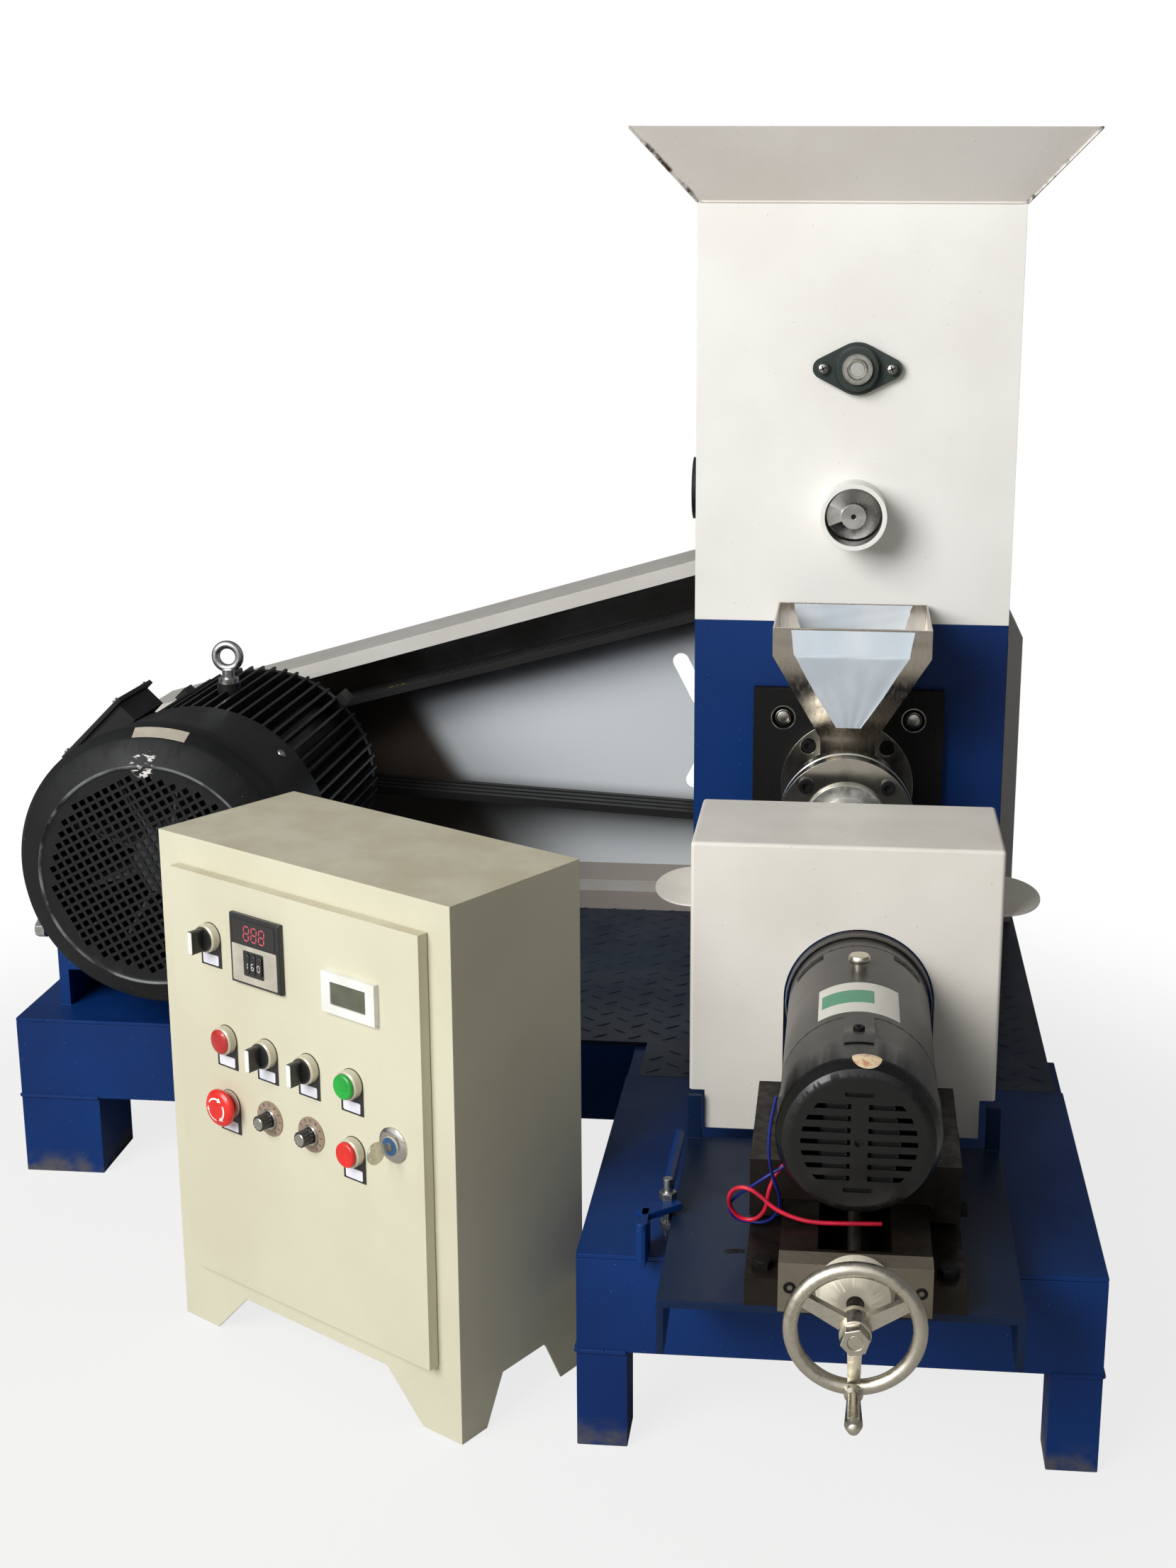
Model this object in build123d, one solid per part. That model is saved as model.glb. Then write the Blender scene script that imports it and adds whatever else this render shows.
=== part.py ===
from build123d import *
from math import atan2, cos, pi, radians, sin, tan
import os

# Screw extruder for pellets: a feed tower on a belt-driven barrel, a face cutter on a
# hand-wound slide in front of the die, and a free-standing control cabinet.
# Millimetres, +Z up, +Y away from the operator, +X to the right, floor at Z = 0.

# Floor frame
DECK_TOP = 203
PLATE = 5
BEAM_HEIGHT = 97
BEAM_WIDTH = 60
BEAM_WALL = 5
FRAME_LEFT = -1011
FRAME_RIGHT = 243
FRAME_FRONT = -125
FRAME_BACK = 500
FRAME_LEG = 99
TABLE_LEFT = -244
TABLE_RIGHT = 252
TABLE_FRONT = -634
TABLE_SEAM = -222
TABLE_LEG = 49
TABLE_CHEQUER_LEFT = -230
DECK_LEFT = -640

# Feed tower
TOWER_HALF = 186.5
TOWER_DEPTH = 300
TOWER_BOTTOM = 696
TOWER_TOP = 1179.5
TOWER_WALL = 3
TOWER_FLOOR = 776
HOPPER_TOP = 1257
HOPPER_FLARE = 71.5

# Screw, die and inlet, all on the barrel's axis
BARREL_Z = 503
SCREW_RADIUS = 29.5
BARREL_BORE = 30
BEARING_PLATE_HALF = 114
BEARING_PLATE_THICK = 14
REAR_FLANGE = 79
FRONT_FLANGE = 76
FRONT_FLANGE_FACE = -200
NOZZLE_FACE = -238
FUNNEL_TOP = 720

# Feed auger and agitator
AUGER_Z = 828
AGITATOR_Z = 994

# Belt drive
MOTOR_X = -797
MOTOR_Z = 420
MOTOR_PULLEY_RADIUS = 56
MAIN_PULLEY_RADIUS = 183
GROOVES = 4
GROOVE_PITCH = 19
GROOVE_DEPTH = 12
PULLEY_FRONT = 384
PULLEY_BACK = 464
GUARD_FRONT = 360
GUARD_BACK = 490
GUARD_SHEET = 2

# Cutter and its slide
CUTTER_X = 17
BENCH_TOP = 229
SLIDE_FRONT = -756
CARRIAGE_TOP = 317
CUTTER_Z = 383
WHEEL_Z = 260
WHEEL_RADIUS = 60
WHEEL_Y = -838
HANDLE_TIP = -902
COVER_LEFT = -155
COVER_RIGHT = 159
COVER_FRONT = -423
COVER_BACK = -262
COVER_TOP = 546
COVER_BOTTOM = 237
COVER_NOTCH = 279
COVER_SHEET = 2

# Control cabinet, turned towards the operator
CABINET_CORNER = (-699.3, -432.9)
CABINET_TURN = -31.685
CABINET_WIDTH = 406
CABINET_DEPTH = 183
CABINET_TOP = 546
CABINET_LEG = 49
CABINET_SHEET = 2
DOOR_LEFT = 31
DOOR_RIGHT = 378
DOOR_BOTTOM = 76
DOOR_TOP = 516
DOOR_FACE = -13
DOOR_BACK = -1
DOOR_SHEET = 2
COLUMNS = [107, 166.5, 226, 285.5]
UPPER_ROW = 348
LOWER_ROW = 278
FIRST_SELECTOR = (90, 453)
LOCK_PLACE = (339, 300)

# The origin is the middle of the whole set on the floor
GUARD_LEFT = FRAME_LEFT - 4
HOPPER_RIGHT = TOWER_HALF + HOPPER_FLARE
CENTRE_X = (GUARD_LEFT + HOPPER_RIGHT) / 2
CENTRE_Y = (HANDLE_TIP + FRAME_BACK) / 2

parts = {}


def block(x0, x1, y0, y1, z0, z1):
    """A box between two corners."""
    return Pos((x0 + x1) / 2, (y0 + y1) / 2, (z0 + z1) / 2) * Box(x1 - x0, y1 - y0, z1 - z0)


def rod_x(y, z, radius, x0, x1):
    """A round bar along X."""
    base = (Align.CENTER, Align.CENTER, Align.MIN)
    return Pos(x0, y, z) * Rot(0, 90, 0) * Cylinder(radius, x1 - x0, align=base)


def rod_y(x, z, radius, y0, y1):
    """A round bar along Y."""
    base = (Align.CENTER, Align.CENTER, Align.MIN)
    return Pos(x, y0, z) * Rot(-90, 0, 0) * Cylinder(radius, y1 - y0, align=base)


def rod_z(x, y, radius, z0, z1):
    """A round bar along Z."""
    base = (Align.CENTER, Align.CENTER, Align.MIN)
    return Pos(x, y, z0) * Cylinder(radius, z1 - z0, align=base)


def turned_y(x, z, outline):
    """A turned piece about an axis along Y, from (radius, y) points."""
    return Pos(x, 0, z) * revolve(make_face(Polyline(*outline, close=True)), Axis.Y)


def slab_xz(outline, y0, y1):
    """A flat outline in X and Z given thickness along Y."""
    plane = Plane((0, y1, 0), x_dir=(1, 0, 0), z_dir=(0, -1, 0))
    return extrude(plane * outline, amount=y1 - y0)


def slab_yz(outline, x0, x1):
    """A flat outline in Y and Z given thickness along X."""
    plane = Plane((x0, 0, 0), x_dir=(0, 1, 0), z_dir=(1, 0, 0))
    return extrude(plane * outline, amount=x1 - x0)


def open_box(x0, x1, y0, y1, z0, z1, wall, base):
    """A sheet box that is open at the top, with its floor at the height base."""
    inside = block(x0 + wall, x1 - wall, y0 + wall, y1 - wall, base + wall, z1 + 1)
    below = block(x0 + wall, x1 - wall, y0 + wall, y1 - wall, z0 - 1, base)
    return block(x0, x1, y0, y1, z0, z1) - inside - below


# Frame: channels with their webs outwards, welded to legs of square tube
BEAM_TOP = DECK_TOP - PLATE
BEAM_BOTTOM = BEAM_TOP - BEAM_HEIGHT


def channel_ring(x0, x1, y0, y1):
    """Four channels round a rectangle, webs outside and flanges pointing inwards."""
    ring = block(x0, x1, y0, y1, BEAM_BOTTOM, BEAM_TOP)
    low, high = BEAM_BOTTOM + BEAM_WALL, BEAM_TOP - BEAM_WALL
    w = BEAM_WIDTH
    ring -= block(x0 + w, x1 - w, y0 + w, y1 - w, BEAM_BOTTOM, BEAM_TOP)
    ring -= block(x0 + BEAM_WALL, x1 - BEAM_WALL, y0 + BEAM_WALL, y1 - BEAM_WALL, low, high)
    return ring


CROSS_BEAMS = [-420, -190]
main_frame = channel_ring(FRAME_LEFT, FRAME_RIGHT, FRAME_FRONT, FRAME_BACK)
for x in CROSS_BEAMS:
    main_frame += block(x, x + BEAM_WALL, FRAME_FRONT, FRAME_BACK, BEAM_BOTTOM, BEAM_TOP)
parts["main_frame"] = main_frame
parts["table_frame"] = channel_ring(TABLE_LEFT, TABLE_RIGHT, TABLE_FRONT, FRAME_FRONT)


def leg(x, y, side):
    """A square leg from the floor to the underside of the beams."""
    return block(x, x + side, y, y + side, 0, BEAM_BOTTOM)


far_x = FRAME_RIGHT - FRAME_LEG
far_y = FRAME_BACK - FRAME_LEG
legs = [leg(x, y, FRAME_LEG) for x in (FRAME_LEFT, far_x) for y in (FRAME_FRONT, far_y)]
legs += [leg(x, TABLE_FRONT, TABLE_LEG) for x in (TABLE_LEFT, TABLE_RIGHT - TABLE_LEG)]
parts["frame_legs"] = Compound(legs)

deck = block(DECK_LEFT, FRAME_RIGHT, FRAME_FRONT, FRAME_BACK, BEAM_TOP, DECK_TOP)
deck += block(TABLE_CHEQUER_LEFT, FRAME_RIGHT, TABLE_SEAM, FRAME_FRONT, BEAM_TOP, DECK_TOP)
parts["deck_plate"] = deck
table_plate = block(TABLE_LEFT, TABLE_RIGHT, TABLE_FRONT, TABLE_SEAM, BEAM_TOP, DECK_TOP)
parts["table_plate"] = table_plate

# Pedestal: a welded box with the spindle housing through it
SPINDLE_BORE = 26
SPINDLE_HOUSING = 70
PEDESTAL_WALL = 8


def make_pedestal():
    """A closed steel box, with a heavy tube through it for the spindle's bearings."""
    box = block(-TOWER_HALF, TOWER_HALF, 0, TOWER_DEPTH, DECK_TOP, TOWER_BOTTOM)
    t = PEDESTAL_WALL
    inner = TOWER_HALF - t
    box -= block(-inner, inner, t, TOWER_DEPTH - t, DECK_TOP + t, TOWER_BOTTOM - t)
    box += rod_y(0, BARREL_Z, SPINDLE_HOUSING, 0, TOWER_DEPTH)
    return box - rod_y(0, BARREL_Z, SPINDLE_BORE, -1, TOWER_DEPTH + 1)


parts["pedestal"] = make_pedestal()

# Square plate that the barrel is bolted through, with counterbored bolts at its corners
PLATE_BOLT = 78
BOLT_RECESS = 13.5
BOLT_HEAD = 9


def make_bearing_plate():
    """A thick square plate with a bore for the spindle and four recesses for bolt heads."""
    h = BEARING_PLATE_HALF
    plate = block(-h, h, -BEARING_PLATE_THICK, 0, BARREL_Z - h, BARREL_Z + h)
    plate -= rod_y(0, BARREL_Z, SPINDLE_BORE, -BEARING_PLATE_THICK - 1, 1)
    for x in (-PLATE_BOLT, PLATE_BOLT):
        for z in (BARREL_Z - PLATE_BOLT, BARREL_Z + PLATE_BOLT):
            plate -= rod_y(x, z, BOLT_RECESS, -BEARING_PLATE_THICK - 1, -3)
            plate += rod_y(x, z, BOLT_HEAD, -BEARING_PLATE_THICK + 1, -3)
    return plate


parts["bearing_plate"] = make_bearing_plate()

# Barrel with a flange at each end, and the inlet neck's seat on top
BARREL_RADIUS = 50
REAR_FACE = -30
FRONT_FLANGE_BACK = -155
RIM_GROOVE = -177
NECK_HALF = 31.5
NECK_BACK = -70
NECK_FRONT = -125
REAR_BOLTS = 66.5
FRONT_BOLTS = 64
SOCKET_HEAD = 8
SOCKET_KEY = 4.6
HEAD_DEPTH = 9


def make_barrel():
    """A turned barrel open under the inlet, flanged at both ends."""
    back = -BEARING_PLATE_THICK
    body = turned_y(0, BARREL_Z, [
        (BARREL_BORE, back),
        (REAR_FLANGE, back),
        (REAR_FLANGE, REAR_FACE),
        (BARREL_RADIUS, REAR_FACE),
        (BARREL_RADIUS, FRONT_FLANGE_BACK),
        (FRONT_FLANGE, FRONT_FLANGE_BACK),
        (FRONT_FLANGE, RIM_GROOVE + 4),
        (FRONT_FLANGE - 3, RIM_GROOVE + 2),
        (FRONT_FLANGE - 3, RIM_GROOVE - 2),
        (FRONT_FLANGE, RIM_GROOVE - 4),
        (FRONT_FLANGE, FRONT_FLANGE_FACE),
        (BARREL_BORE, FRONT_FLANGE_FACE),
    ])
    mouth = NECK_HALF - 4
    body -= block(-mouth, mouth, NECK_FRONT + 4, NECK_BACK - 4, BARREL_Z, BARREL_Z + 80)
    for angle in range(45, 360, 90):
        across = cos(radians(angle))
        up = sin(radians(angle))
        rear = (REAR_BOLTS * across, BARREL_Z + REAR_BOLTS * up)
        front = (FRONT_BOLTS * across, BARREL_Z + FRONT_BOLTS * up)
        body -= rod_y(*rear, SOCKET_HEAD + 1.5, REAR_FACE - 1, REAR_FACE + HEAD_DEPTH)
        body += rod_y(*rear, SOCKET_HEAD, REAR_FACE + 1, REAR_FACE + HEAD_DEPTH)
        body += rod_y(*front, SOCKET_HEAD, FRONT_FLANGE_FACE - HEAD_DEPTH, FRONT_FLANGE_FACE)
        key = RegularPolygon(SOCKET_KEY, 6)
        body -= slab_xz(Pos(*rear) * key, REAR_FACE, REAR_FACE + 6)
        body -= slab_xz(Pos(*front) * key, FRONT_FLANGE_FACE - HEAD_DEPTH - 1, FRONT_FLANGE_FACE - 4)
    return body


parts["barrel"] = make_barrel()

NOZZLE_RADIUS = 33
nozzle = turned_y(0, BARREL_Z, [
    (12, FRONT_FLANGE_FACE),
    (48, FRONT_FLANGE_FACE),
    (48, FRONT_FLANGE_FACE - 8),
    (NOZZLE_RADIUS, FRONT_FLANGE_FACE - 8),
    (NOZZLE_RADIUS, NOZZLE_FACE),
    (4, NOZZLE_FACE),
    (4, NOZZLE_FACE + 12),
    (12, NOZZLE_FACE + 20),
])
parts["die_nozzle"] = nozzle

# Open inlet funnel of bent stainless sheet, from a wide mouth down to a neck on the barrel
FUNNEL_HALF = 88
FUNNEL_LEFT = 2 - FUNNEL_HALF
FUNNEL_RIGHT = 2 + FUNNEL_HALF
FUNNEL_BACK = -6
FUNNEL_FRONT = -175
FUNNEL_SHOULDER = 688
FUNNEL_NECK = 583
FUNNEL_SHEET = 2


def funnel_solid(grow, raise_top):
    """The funnel's outside, or its inside when grow is negative."""
    mouth_x = (FUNNEL_LEFT - grow, FUNNEL_RIGHT + grow)
    mouth_y = (FUNNEL_FRONT - grow, FUNNEL_BACK + grow)
    neck_x = (-NECK_HALF - grow, NECK_HALF + grow)
    neck_y = (NECK_FRONT - grow, NECK_BACK + grow)
    bottom = BARREL_Z + BARREL_RADIUS - 1
    mouth = block(*mouth_x, *mouth_y, FUNNEL_SHOULDER, FUNNEL_TOP + raise_top)
    neck = block(*neck_x, *neck_y, bottom - raise_top, FUNNEL_NECK)

    def ring(xs, ys, z):
        middle = ((xs[0] + xs[1]) / 2, (ys[0] + ys[1]) / 2, z)
        return Plane(middle) * Rectangle(xs[1] - xs[0], ys[1] - ys[0])

    taper = loft([ring(neck_x, neck_y, FUNNEL_NECK), ring(mouth_x, mouth_y, FUNNEL_SHOULDER)])
    return neck + taper + mouth


funnel = funnel_solid(0, 0) - funnel_solid(-FUNNEL_SHEET, 2)
funnel -= rod_y(0, BARREL_Z, BARREL_RADIUS + 0.05, -140, -50)
parts["inlet_funnel"] = funnel

# Feed tower and its flared hopper
TUBE_RADIUS = 38.5
TUBE_WALL = 5.5
TUBE_FRONT = -56


def make_tower():
    """A sheet box with its floor part way up, bored for the feed tube and both shafts."""
    h = TOWER_HALF
    tower = open_box(-h, h, 0, TOWER_DEPTH, TOWER_BOTTOM, TOWER_TOP, TOWER_WALL, TOWER_FLOOR)
    tower -= rod_y(0, AUGER_Z, TUBE_RADIUS - TUBE_WALL, -1, 150)
    tower -= rod_y(0, AUGER_Z, 16, 150, TOWER_DEPTH + 1)
    return tower - rod_y(0, AGITATOR_Z, 12, -1, TOWER_DEPTH + 1)


parts["feed_tower"] = make_tower()


def flare(grow, z_shift):
    """The hopper's flare as a solid pyramid part."""
    width = 2 * TOWER_HALF + 2 * grow
    depth = TOWER_DEPTH + 2 * grow
    low = Plane((0, TOWER_DEPTH / 2, TOWER_TOP - z_shift)) * Rectangle(width, depth)
    high = Plane((0, TOWER_DEPTH / 2, HOPPER_TOP + z_shift)) * Rectangle(
        width + 2 * HOPPER_FLARE, depth + 2 * HOPPER_FLARE)
    return loft([low, high])


parts["hopper"] = flare(0, 0) - flare(-TOWER_WALL, 0.01)

feed_tube = rod_y(0, AUGER_Z, TUBE_RADIUS, TUBE_FRONT, 0)
feed_tube -= rod_y(0, AUGER_Z, TUBE_RADIUS - TUBE_WALL, TUBE_FRONT - 1, 1)
parts["feed_tube"] = feed_tube

AUGER_RADIUS = 31
AUGER_PITCH = 48
AUGER_SHAFT = 14.5
AUGER_FRONT = -48
AUGER_BACK = TOWER_DEPTH + 60
FLIGHT_FRONT = -42
FLIGHT_BACK = 150
FLIGHT_THICK = 6


def make_flight(z, radius, root, pitch, thick, y0, y1):
    """A helical flight: a radial strip swept up a helix and cut square at both ends."""
    path = Helix(pitch=pitch, height=y1 - y0 + pitch, radius=(radius + root) / 2)
    start = Plane(origin=path @ 0, x_dir=(1, 0, 0), z_dir=path % 0)
    strip = sweep(start * Rectangle(radius - root, thick), path=path, is_frenet=True)
    return Pos(0, y0 - pitch / 2, z) * Rot(-90, 0, 0) * strip & rod_y(0, z, radius + 1, y0, y1)


auger = rod_y(0, AUGER_Z, AUGER_SHAFT, AUGER_FRONT, AUGER_BACK)
auger += make_flight(AUGER_Z, AUGER_RADIUS, AUGER_SHAFT - 1, AUGER_PITCH, FLIGHT_THICK,
                     FLIGHT_FRONT, FLIGHT_BACK)
parts["feed_auger"] = auger - rod_y(0, AUGER_Z, 3, AUGER_FRONT - 1, AUGER_FRONT + 12)

# Agitator shaft across the tower, carried by a two-bolt bearing on the front wall
AGITATOR_RADIUS = 8
BEARING_HALF = 52
BEARING_BOLT = 39.5


def make_flange_bearing():
    """A cast rhombic flange with a raised round housing and a steel insert."""
    outline = make_hull(
        (Pos(0, AGITATOR_Z) * Circle(30)).edges()
        + (Pos(-BEARING_BOLT, AGITATOR_Z) * Circle(12)).edges()
        + (Pos(BEARING_BOLT, AGITATOR_Z) * Circle(12)).edges()
    )
    body = slab_xz(outline, -9, 0)
    body += turned_y(0, AGITATOR_Z, [(0, -9), (27, -9), (24, -20), (18, -20), (17, -24), (0, -24)])
    for x in (-BEARING_BOLT, BEARING_BOLT):
        body += rod_y(x, AGITATOR_Z, 7, -14, -9)
    return body - rod_y(0, AGITATOR_Z, AGITATOR_RADIUS + 0.05, -30, 1)


parts["flange_bearing"] = make_flange_bearing()


BAR_RADIUS = 5
BAR_LENGTH = 220
BAR_STEP = 60
CASE_THICK = 34


def make_agitator():
    """A round shaft with four bars through it, each turned on from the last."""
    shaft = rod_y(0, AGITATOR_Z, AGITATOR_RADIUS, -28, TOWER_DEPTH + CASE_THICK - 6)
    for i in range(4):
        turn = Pos(0, BAR_STEP * (i + 1), AGITATOR_Z) * Rot(0, 45 * i, 0)
        shaft += turn * Cylinder(BAR_RADIUS, BAR_LENGTH)
    return shaft


parts["agitator"] = make_agitator()

# Feed drive on the tower's back: a worm gearbox on the auger's shaft with its motor lying
# across, and a chain case up to the agitator
GEARBOX_HALF = 60
GEARBOX_FRONT = TOWER_DEPTH + CASE_THICK
GEARBOX_BACK = GEARBOX_FRONT + 76
GEARBOX_BOTTOM = 768
GEARBOX_TOP = 900
FEED_MOTOR_Y = TOWER_DEPTH + 72
FEED_MOTOR_Z = 812
FEED_MOTOR_RADIUS = 42
FEED_MOTOR_END = -219


def make_gearmotor():
    """A gearbox with a round motor lying along X, its cowl a step wider at the end."""
    body = block(-GEARBOX_HALF, GEARBOX_HALF, GEARBOX_FRONT, GEARBOX_BACK, GEARBOX_BOTTOM, GEARBOX_TOP)
    body += rod_x(FEED_MOTOR_Y, FEED_MOTOR_Z, FEED_MOTOR_RADIUS - 3, FEED_MOTOR_END, -GEARBOX_HALF)
    body += rod_x(FEED_MOTOR_Y, FEED_MOTOR_Z, FEED_MOTOR_RADIUS, FEED_MOTOR_END, FEED_MOTOR_END + 40)
    return body - rod_y(0, AUGER_Z, AUGER_SHAFT + 0.05, GEARBOX_FRONT - 1, AUGER_BACK + 4)


def case_outline(radius):
    """The chain case's side view round both shafts."""
    return make_hull(
        (Pos(0, AGITATOR_Z) * Circle(radius)).edges()
        + (Pos(0, AUGER_Z) * Circle(radius)).edges()
    )


def make_chain_case():
    """A flat round-ended case over the chain from the agitator down to the auger."""
    case = slab_xz(case_outline(45), TOWER_DEPTH, GEARBOX_FRONT)
    case -= slab_xz(case_outline(43), TOWER_DEPTH + 2, GEARBOX_FRONT - 2)
    case -= rod_y(0, AGITATOR_Z, AGITATOR_RADIUS + 1, TOWER_DEPTH - 1, GEARBOX_FRONT - 3)
    return case - rod_y(0, AUGER_Z, AUGER_SHAFT + 1, TOWER_DEPTH - 1, GEARBOX_FRONT + 1)


parts["feed_drive"] = make_gearmotor() + make_chain_case()

# Belt drive
FIRST_GROOVE = (PULLEY_FRONT + PULLEY_BACK) / 2 - (GROOVES - 1) * GROOVE_PITCH / 2


def make_pulley(x, z, radius, bore_radius):
    """A grooved pulley turned from the solid, with a bore."""
    groove_bottom = radius - GROOVE_DEPTH
    points = [(bore_radius, PULLEY_FRONT), (radius, PULLEY_FRONT)]
    for i in range(GROOVES):
        middle = FIRST_GROOVE + i * GROOVE_PITCH
        points += [(radius, middle - 8.4), (groove_bottom, middle - 6.4)]
        points += [(groove_bottom, middle + 6.4), (radius, middle + 8.4)]
    points += [(radius, PULLEY_BACK), (bore_radius, PULLEY_BACK)]
    return turned_y(x, z, points)


MAIN_SHAFT = 25.9
main_pulley = make_pulley(0, BARREL_Z, MAIN_PULLEY_RADIUS, MAIN_SHAFT)
rim = MAIN_PULLEY_RADIUS - GROOVE_DEPTH - 12
for y0, y1 in ((PULLEY_FRONT - 1, PULLEY_FRONT + 28), (PULLEY_BACK - 28, PULLEY_BACK + 1)):
    main_pulley -= rod_y(0, BARREL_Z, rim, y0, y1) - rod_y(0, BARREL_Z, 48, y0, y1)
parts["main_pulley"] = main_pulley

SCREW_TIP = -190
SCREW_PITCH = 40
SCREW_THICK = 8
SCREW_ROOT = 18
screw = rod_y(0, BARREL_Z, MAIN_SHAFT, REAR_FACE, PULLEY_BACK + 6)
screw += turned_y(0, BARREL_Z, [(0, SCREW_TIP), (15, SCREW_TIP), (20, REAR_FACE), (0, REAR_FACE)])
screw += make_flight(BARREL_Z, SCREW_RADIUS, SCREW_ROOT - 4, SCREW_PITCH, SCREW_THICK,
                     SCREW_TIP, REAR_FACE - 12)
parts["screw_shaft"] = screw

MOTOR_SHAFT = 21
SHAFT_START = 312
motor_pulley = make_pulley(MOTOR_X, MOTOR_Z, MOTOR_PULLEY_RADIUS, MOTOR_SHAFT - 1)
motor_pulley += rod_y(MOTOR_X, MOTOR_Z, MOTOR_SHAFT, SHAFT_START, PULLEY_BACK + 4)
parts["motor_pulley"] = motor_pulley


def belt_outline(grow):
    """The loop that a belt follows, grown outwards from the bottom of the grooves."""
    return make_hull(
        (Pos(MOTOR_X, MOTOR_Z) * Circle(MOTOR_PULLEY_RADIUS - GROOVE_DEPTH + grow)).edges()
        + (Pos(0, BARREL_Z) * Circle(MAIN_PULLEY_RADIUS - GROOVE_DEPTH + grow)).edges()
    )


BELT_CLEAR = 0.5
BELT_HEIGHT = 11
BELT_HALF = 5.6
loop = []
for i in range(GROOVES):
    middle = FIRST_GROOVE + i * GROOVE_PITCH
    band = belt_outline(BELT_CLEAR + BELT_HEIGHT) - belt_outline(BELT_CLEAR)
    loop.append(slab_xz(band, middle - BELT_HALF, middle + BELT_HALF))
parts["drive_belts"] = Compound(loop)

# Belt guard: a sheet back and rim, open towards the machine, standing on the deck
GUARD_RIGHT = 237
GUARD_ROUND = 262
GUARD_SLOPE = 16.2


def guard_outline(shrink):
    """The guard's side view: a slope up from the motor, round over the main pulley."""
    reach = GUARD_ROUND - shrink
    a = radians(90 + GUARD_SLOPE)
    tangent = (reach * cos(a), BARREL_Z + reach * sin(a))
    left = GUARD_LEFT + shrink
    right = GUARD_RIGHT - shrink
    left_z = tangent[1] + (left - tangent[0]) * tan(radians(GUARD_SLOPE))
    b = atan2((reach ** 2 - right ** 2) ** 0.5, right)
    right_z = BARREL_Z + reach * sin(b)
    top = (a + b) / 2
    crown = (reach * cos(top), BARREL_Z + reach * sin(top))
    bottom = DECK_TOP + shrink
    edge = Polyline((right, right_z), (right, bottom), (left, bottom), (left, left_z), tangent)
    return make_face(edge + ThreePointArc(tangent, crown, (right, right_z)))


GUARD_LIP = 20
GUARD_FOOT = 28
VENT_RADIUS = 12
VENT_LENGTH = 60
guard = slab_xz(guard_outline(0), GUARD_FRONT, GUARD_BACK)
guard -= slab_xz(guard_outline(GUARD_SHEET), GUARD_FRONT + GUARD_SHEET, GUARD_BACK - GUARD_SHEET)
guard -= slab_xz(guard_outline(GUARD_LIP), GUARD_FRONT - 1, GUARD_FRONT + GUARD_SHEET + 1)
guard += block(GUARD_LEFT, GUARD_RIGHT, GUARD_FRONT, GUARD_FRONT + GUARD_SHEET,
               DECK_TOP, DECK_TOP + GUARD_FOOT)
for x, z, lean in ((-232, 518, -63), (-212, 392, 63)):
    vent = Pos(x, z) * Rot(0, 0, lean) * SlotCenterToCenter(VENT_LENGTH, 2 * VENT_RADIUS)
    guard -= slab_xz(vent, GUARD_BACK - GUARD_SHEET - 1, GUARD_BACK + 1)
parts["belt_guard"] = guard

# Main motor: a finned frame of centre height 160 on a fabricated base, with its fan at the front
CORE_RADIUS = 128
FIN_RADIUS = 153.5
FIN_THICK = 3.5
FINS = 60
MOTOR_FRAME_FRONT = -18
MOTOR_FRAME_BACK = 250
SHIELD_BACK = 335
COWL_SEAT = 154.9
SHELF_TOP = MOTOR_Z - 160
FOOT_THICK = 22
EYE_Y = 102
EYE_BOSS_TOP = 582


def make_motor_frame():
    """A ribbed body with an end shield at the back, four feet and the lifting eye's boss."""
    fins = PolarLocations((CORE_RADIUS + FIN_RADIUS) / 2 - 2, FINS) * Rectangle(
        FIN_RADIUS - CORE_RADIUS + 4, FIN_THICK)
    section = Circle(CORE_RADIUS) + fins
    body = slab_xz(Pos(MOTOR_X, MOTOR_Z) * section, MOTOR_FRAME_FRONT, MOTOR_FRAME_BACK)
    body += rod_y(MOTOR_X, MOTOR_Z, COWL_SEAT, MOTOR_FRAME_FRONT - 16, MOTOR_FRAME_FRONT)
    body += turned_y(MOTOR_X, MOTOR_Z, [
        (0, MOTOR_FRAME_BACK), (146, MOTOR_FRAME_BACK), (146, MOTOR_FRAME_BACK + 12),
        (128, MOTOR_FRAME_BACK + 30), (70, SHIELD_BACK - 17), (60, SHIELD_BACK), (0, SHIELD_BACK)])
    for angle in range(45, 360, 90):
        lug = block(-9, 9, MOTOR_FRAME_BACK - 14, MOTOR_FRAME_BACK + 16, 138, 163)
        body += Pos(MOTOR_X, 0, MOTOR_Z) * Rot(0, angle, 0) * lug
    for side in (-1, 1):
        foot_x = sorted((MOTOR_X + side * 90, MOTOR_X + side * 157))
        wall_x = sorted((MOTOR_X + side * 100, MOTOR_X + side * 120))
        for y in (0, 215):
            body += block(*foot_x, y, y + 50, SHELF_TOP, SHELF_TOP + FOOT_THICK)
            body += block(*wall_x, y + 5, y + 45, SHELF_TOP + FOOT_THICK, MOTOR_Z - 70)
    body += rod_z(MOTOR_X, EYE_Y, 15, MOTOR_Z + CORE_RADIUS - 8, EYE_BOSS_TOP)
    body += Pos(MOTOR_X, 0, MOTOR_Z) * Rot(0, -45, 0) * block(-38, 22, 15, 85, 120, BOX_BASE)
    bore = MOTOR_SHAFT + 0.05
    body -= rod_y(MOTOR_X, MOTOR_Z, bore, SHAFT_START - 2, SHIELD_BACK + 1)
    return body - rod_y(MOTOR_X, MOTOR_Z, bore, MOTOR_FRAME_FRONT - 17, 2)


BOX_BASE = 156
BOX_SEAM = 184
BOX_TOP = 190
parts["motor_frame"] = make_motor_frame()

GRILLE_RADIUS = 127
GRILLE_PITCH = 10.5
GRILLE_HOLE = 6.8
GRILLE_TURN = 28
GRILLE_FRONT = -208
COWL_BACK = -20


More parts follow.
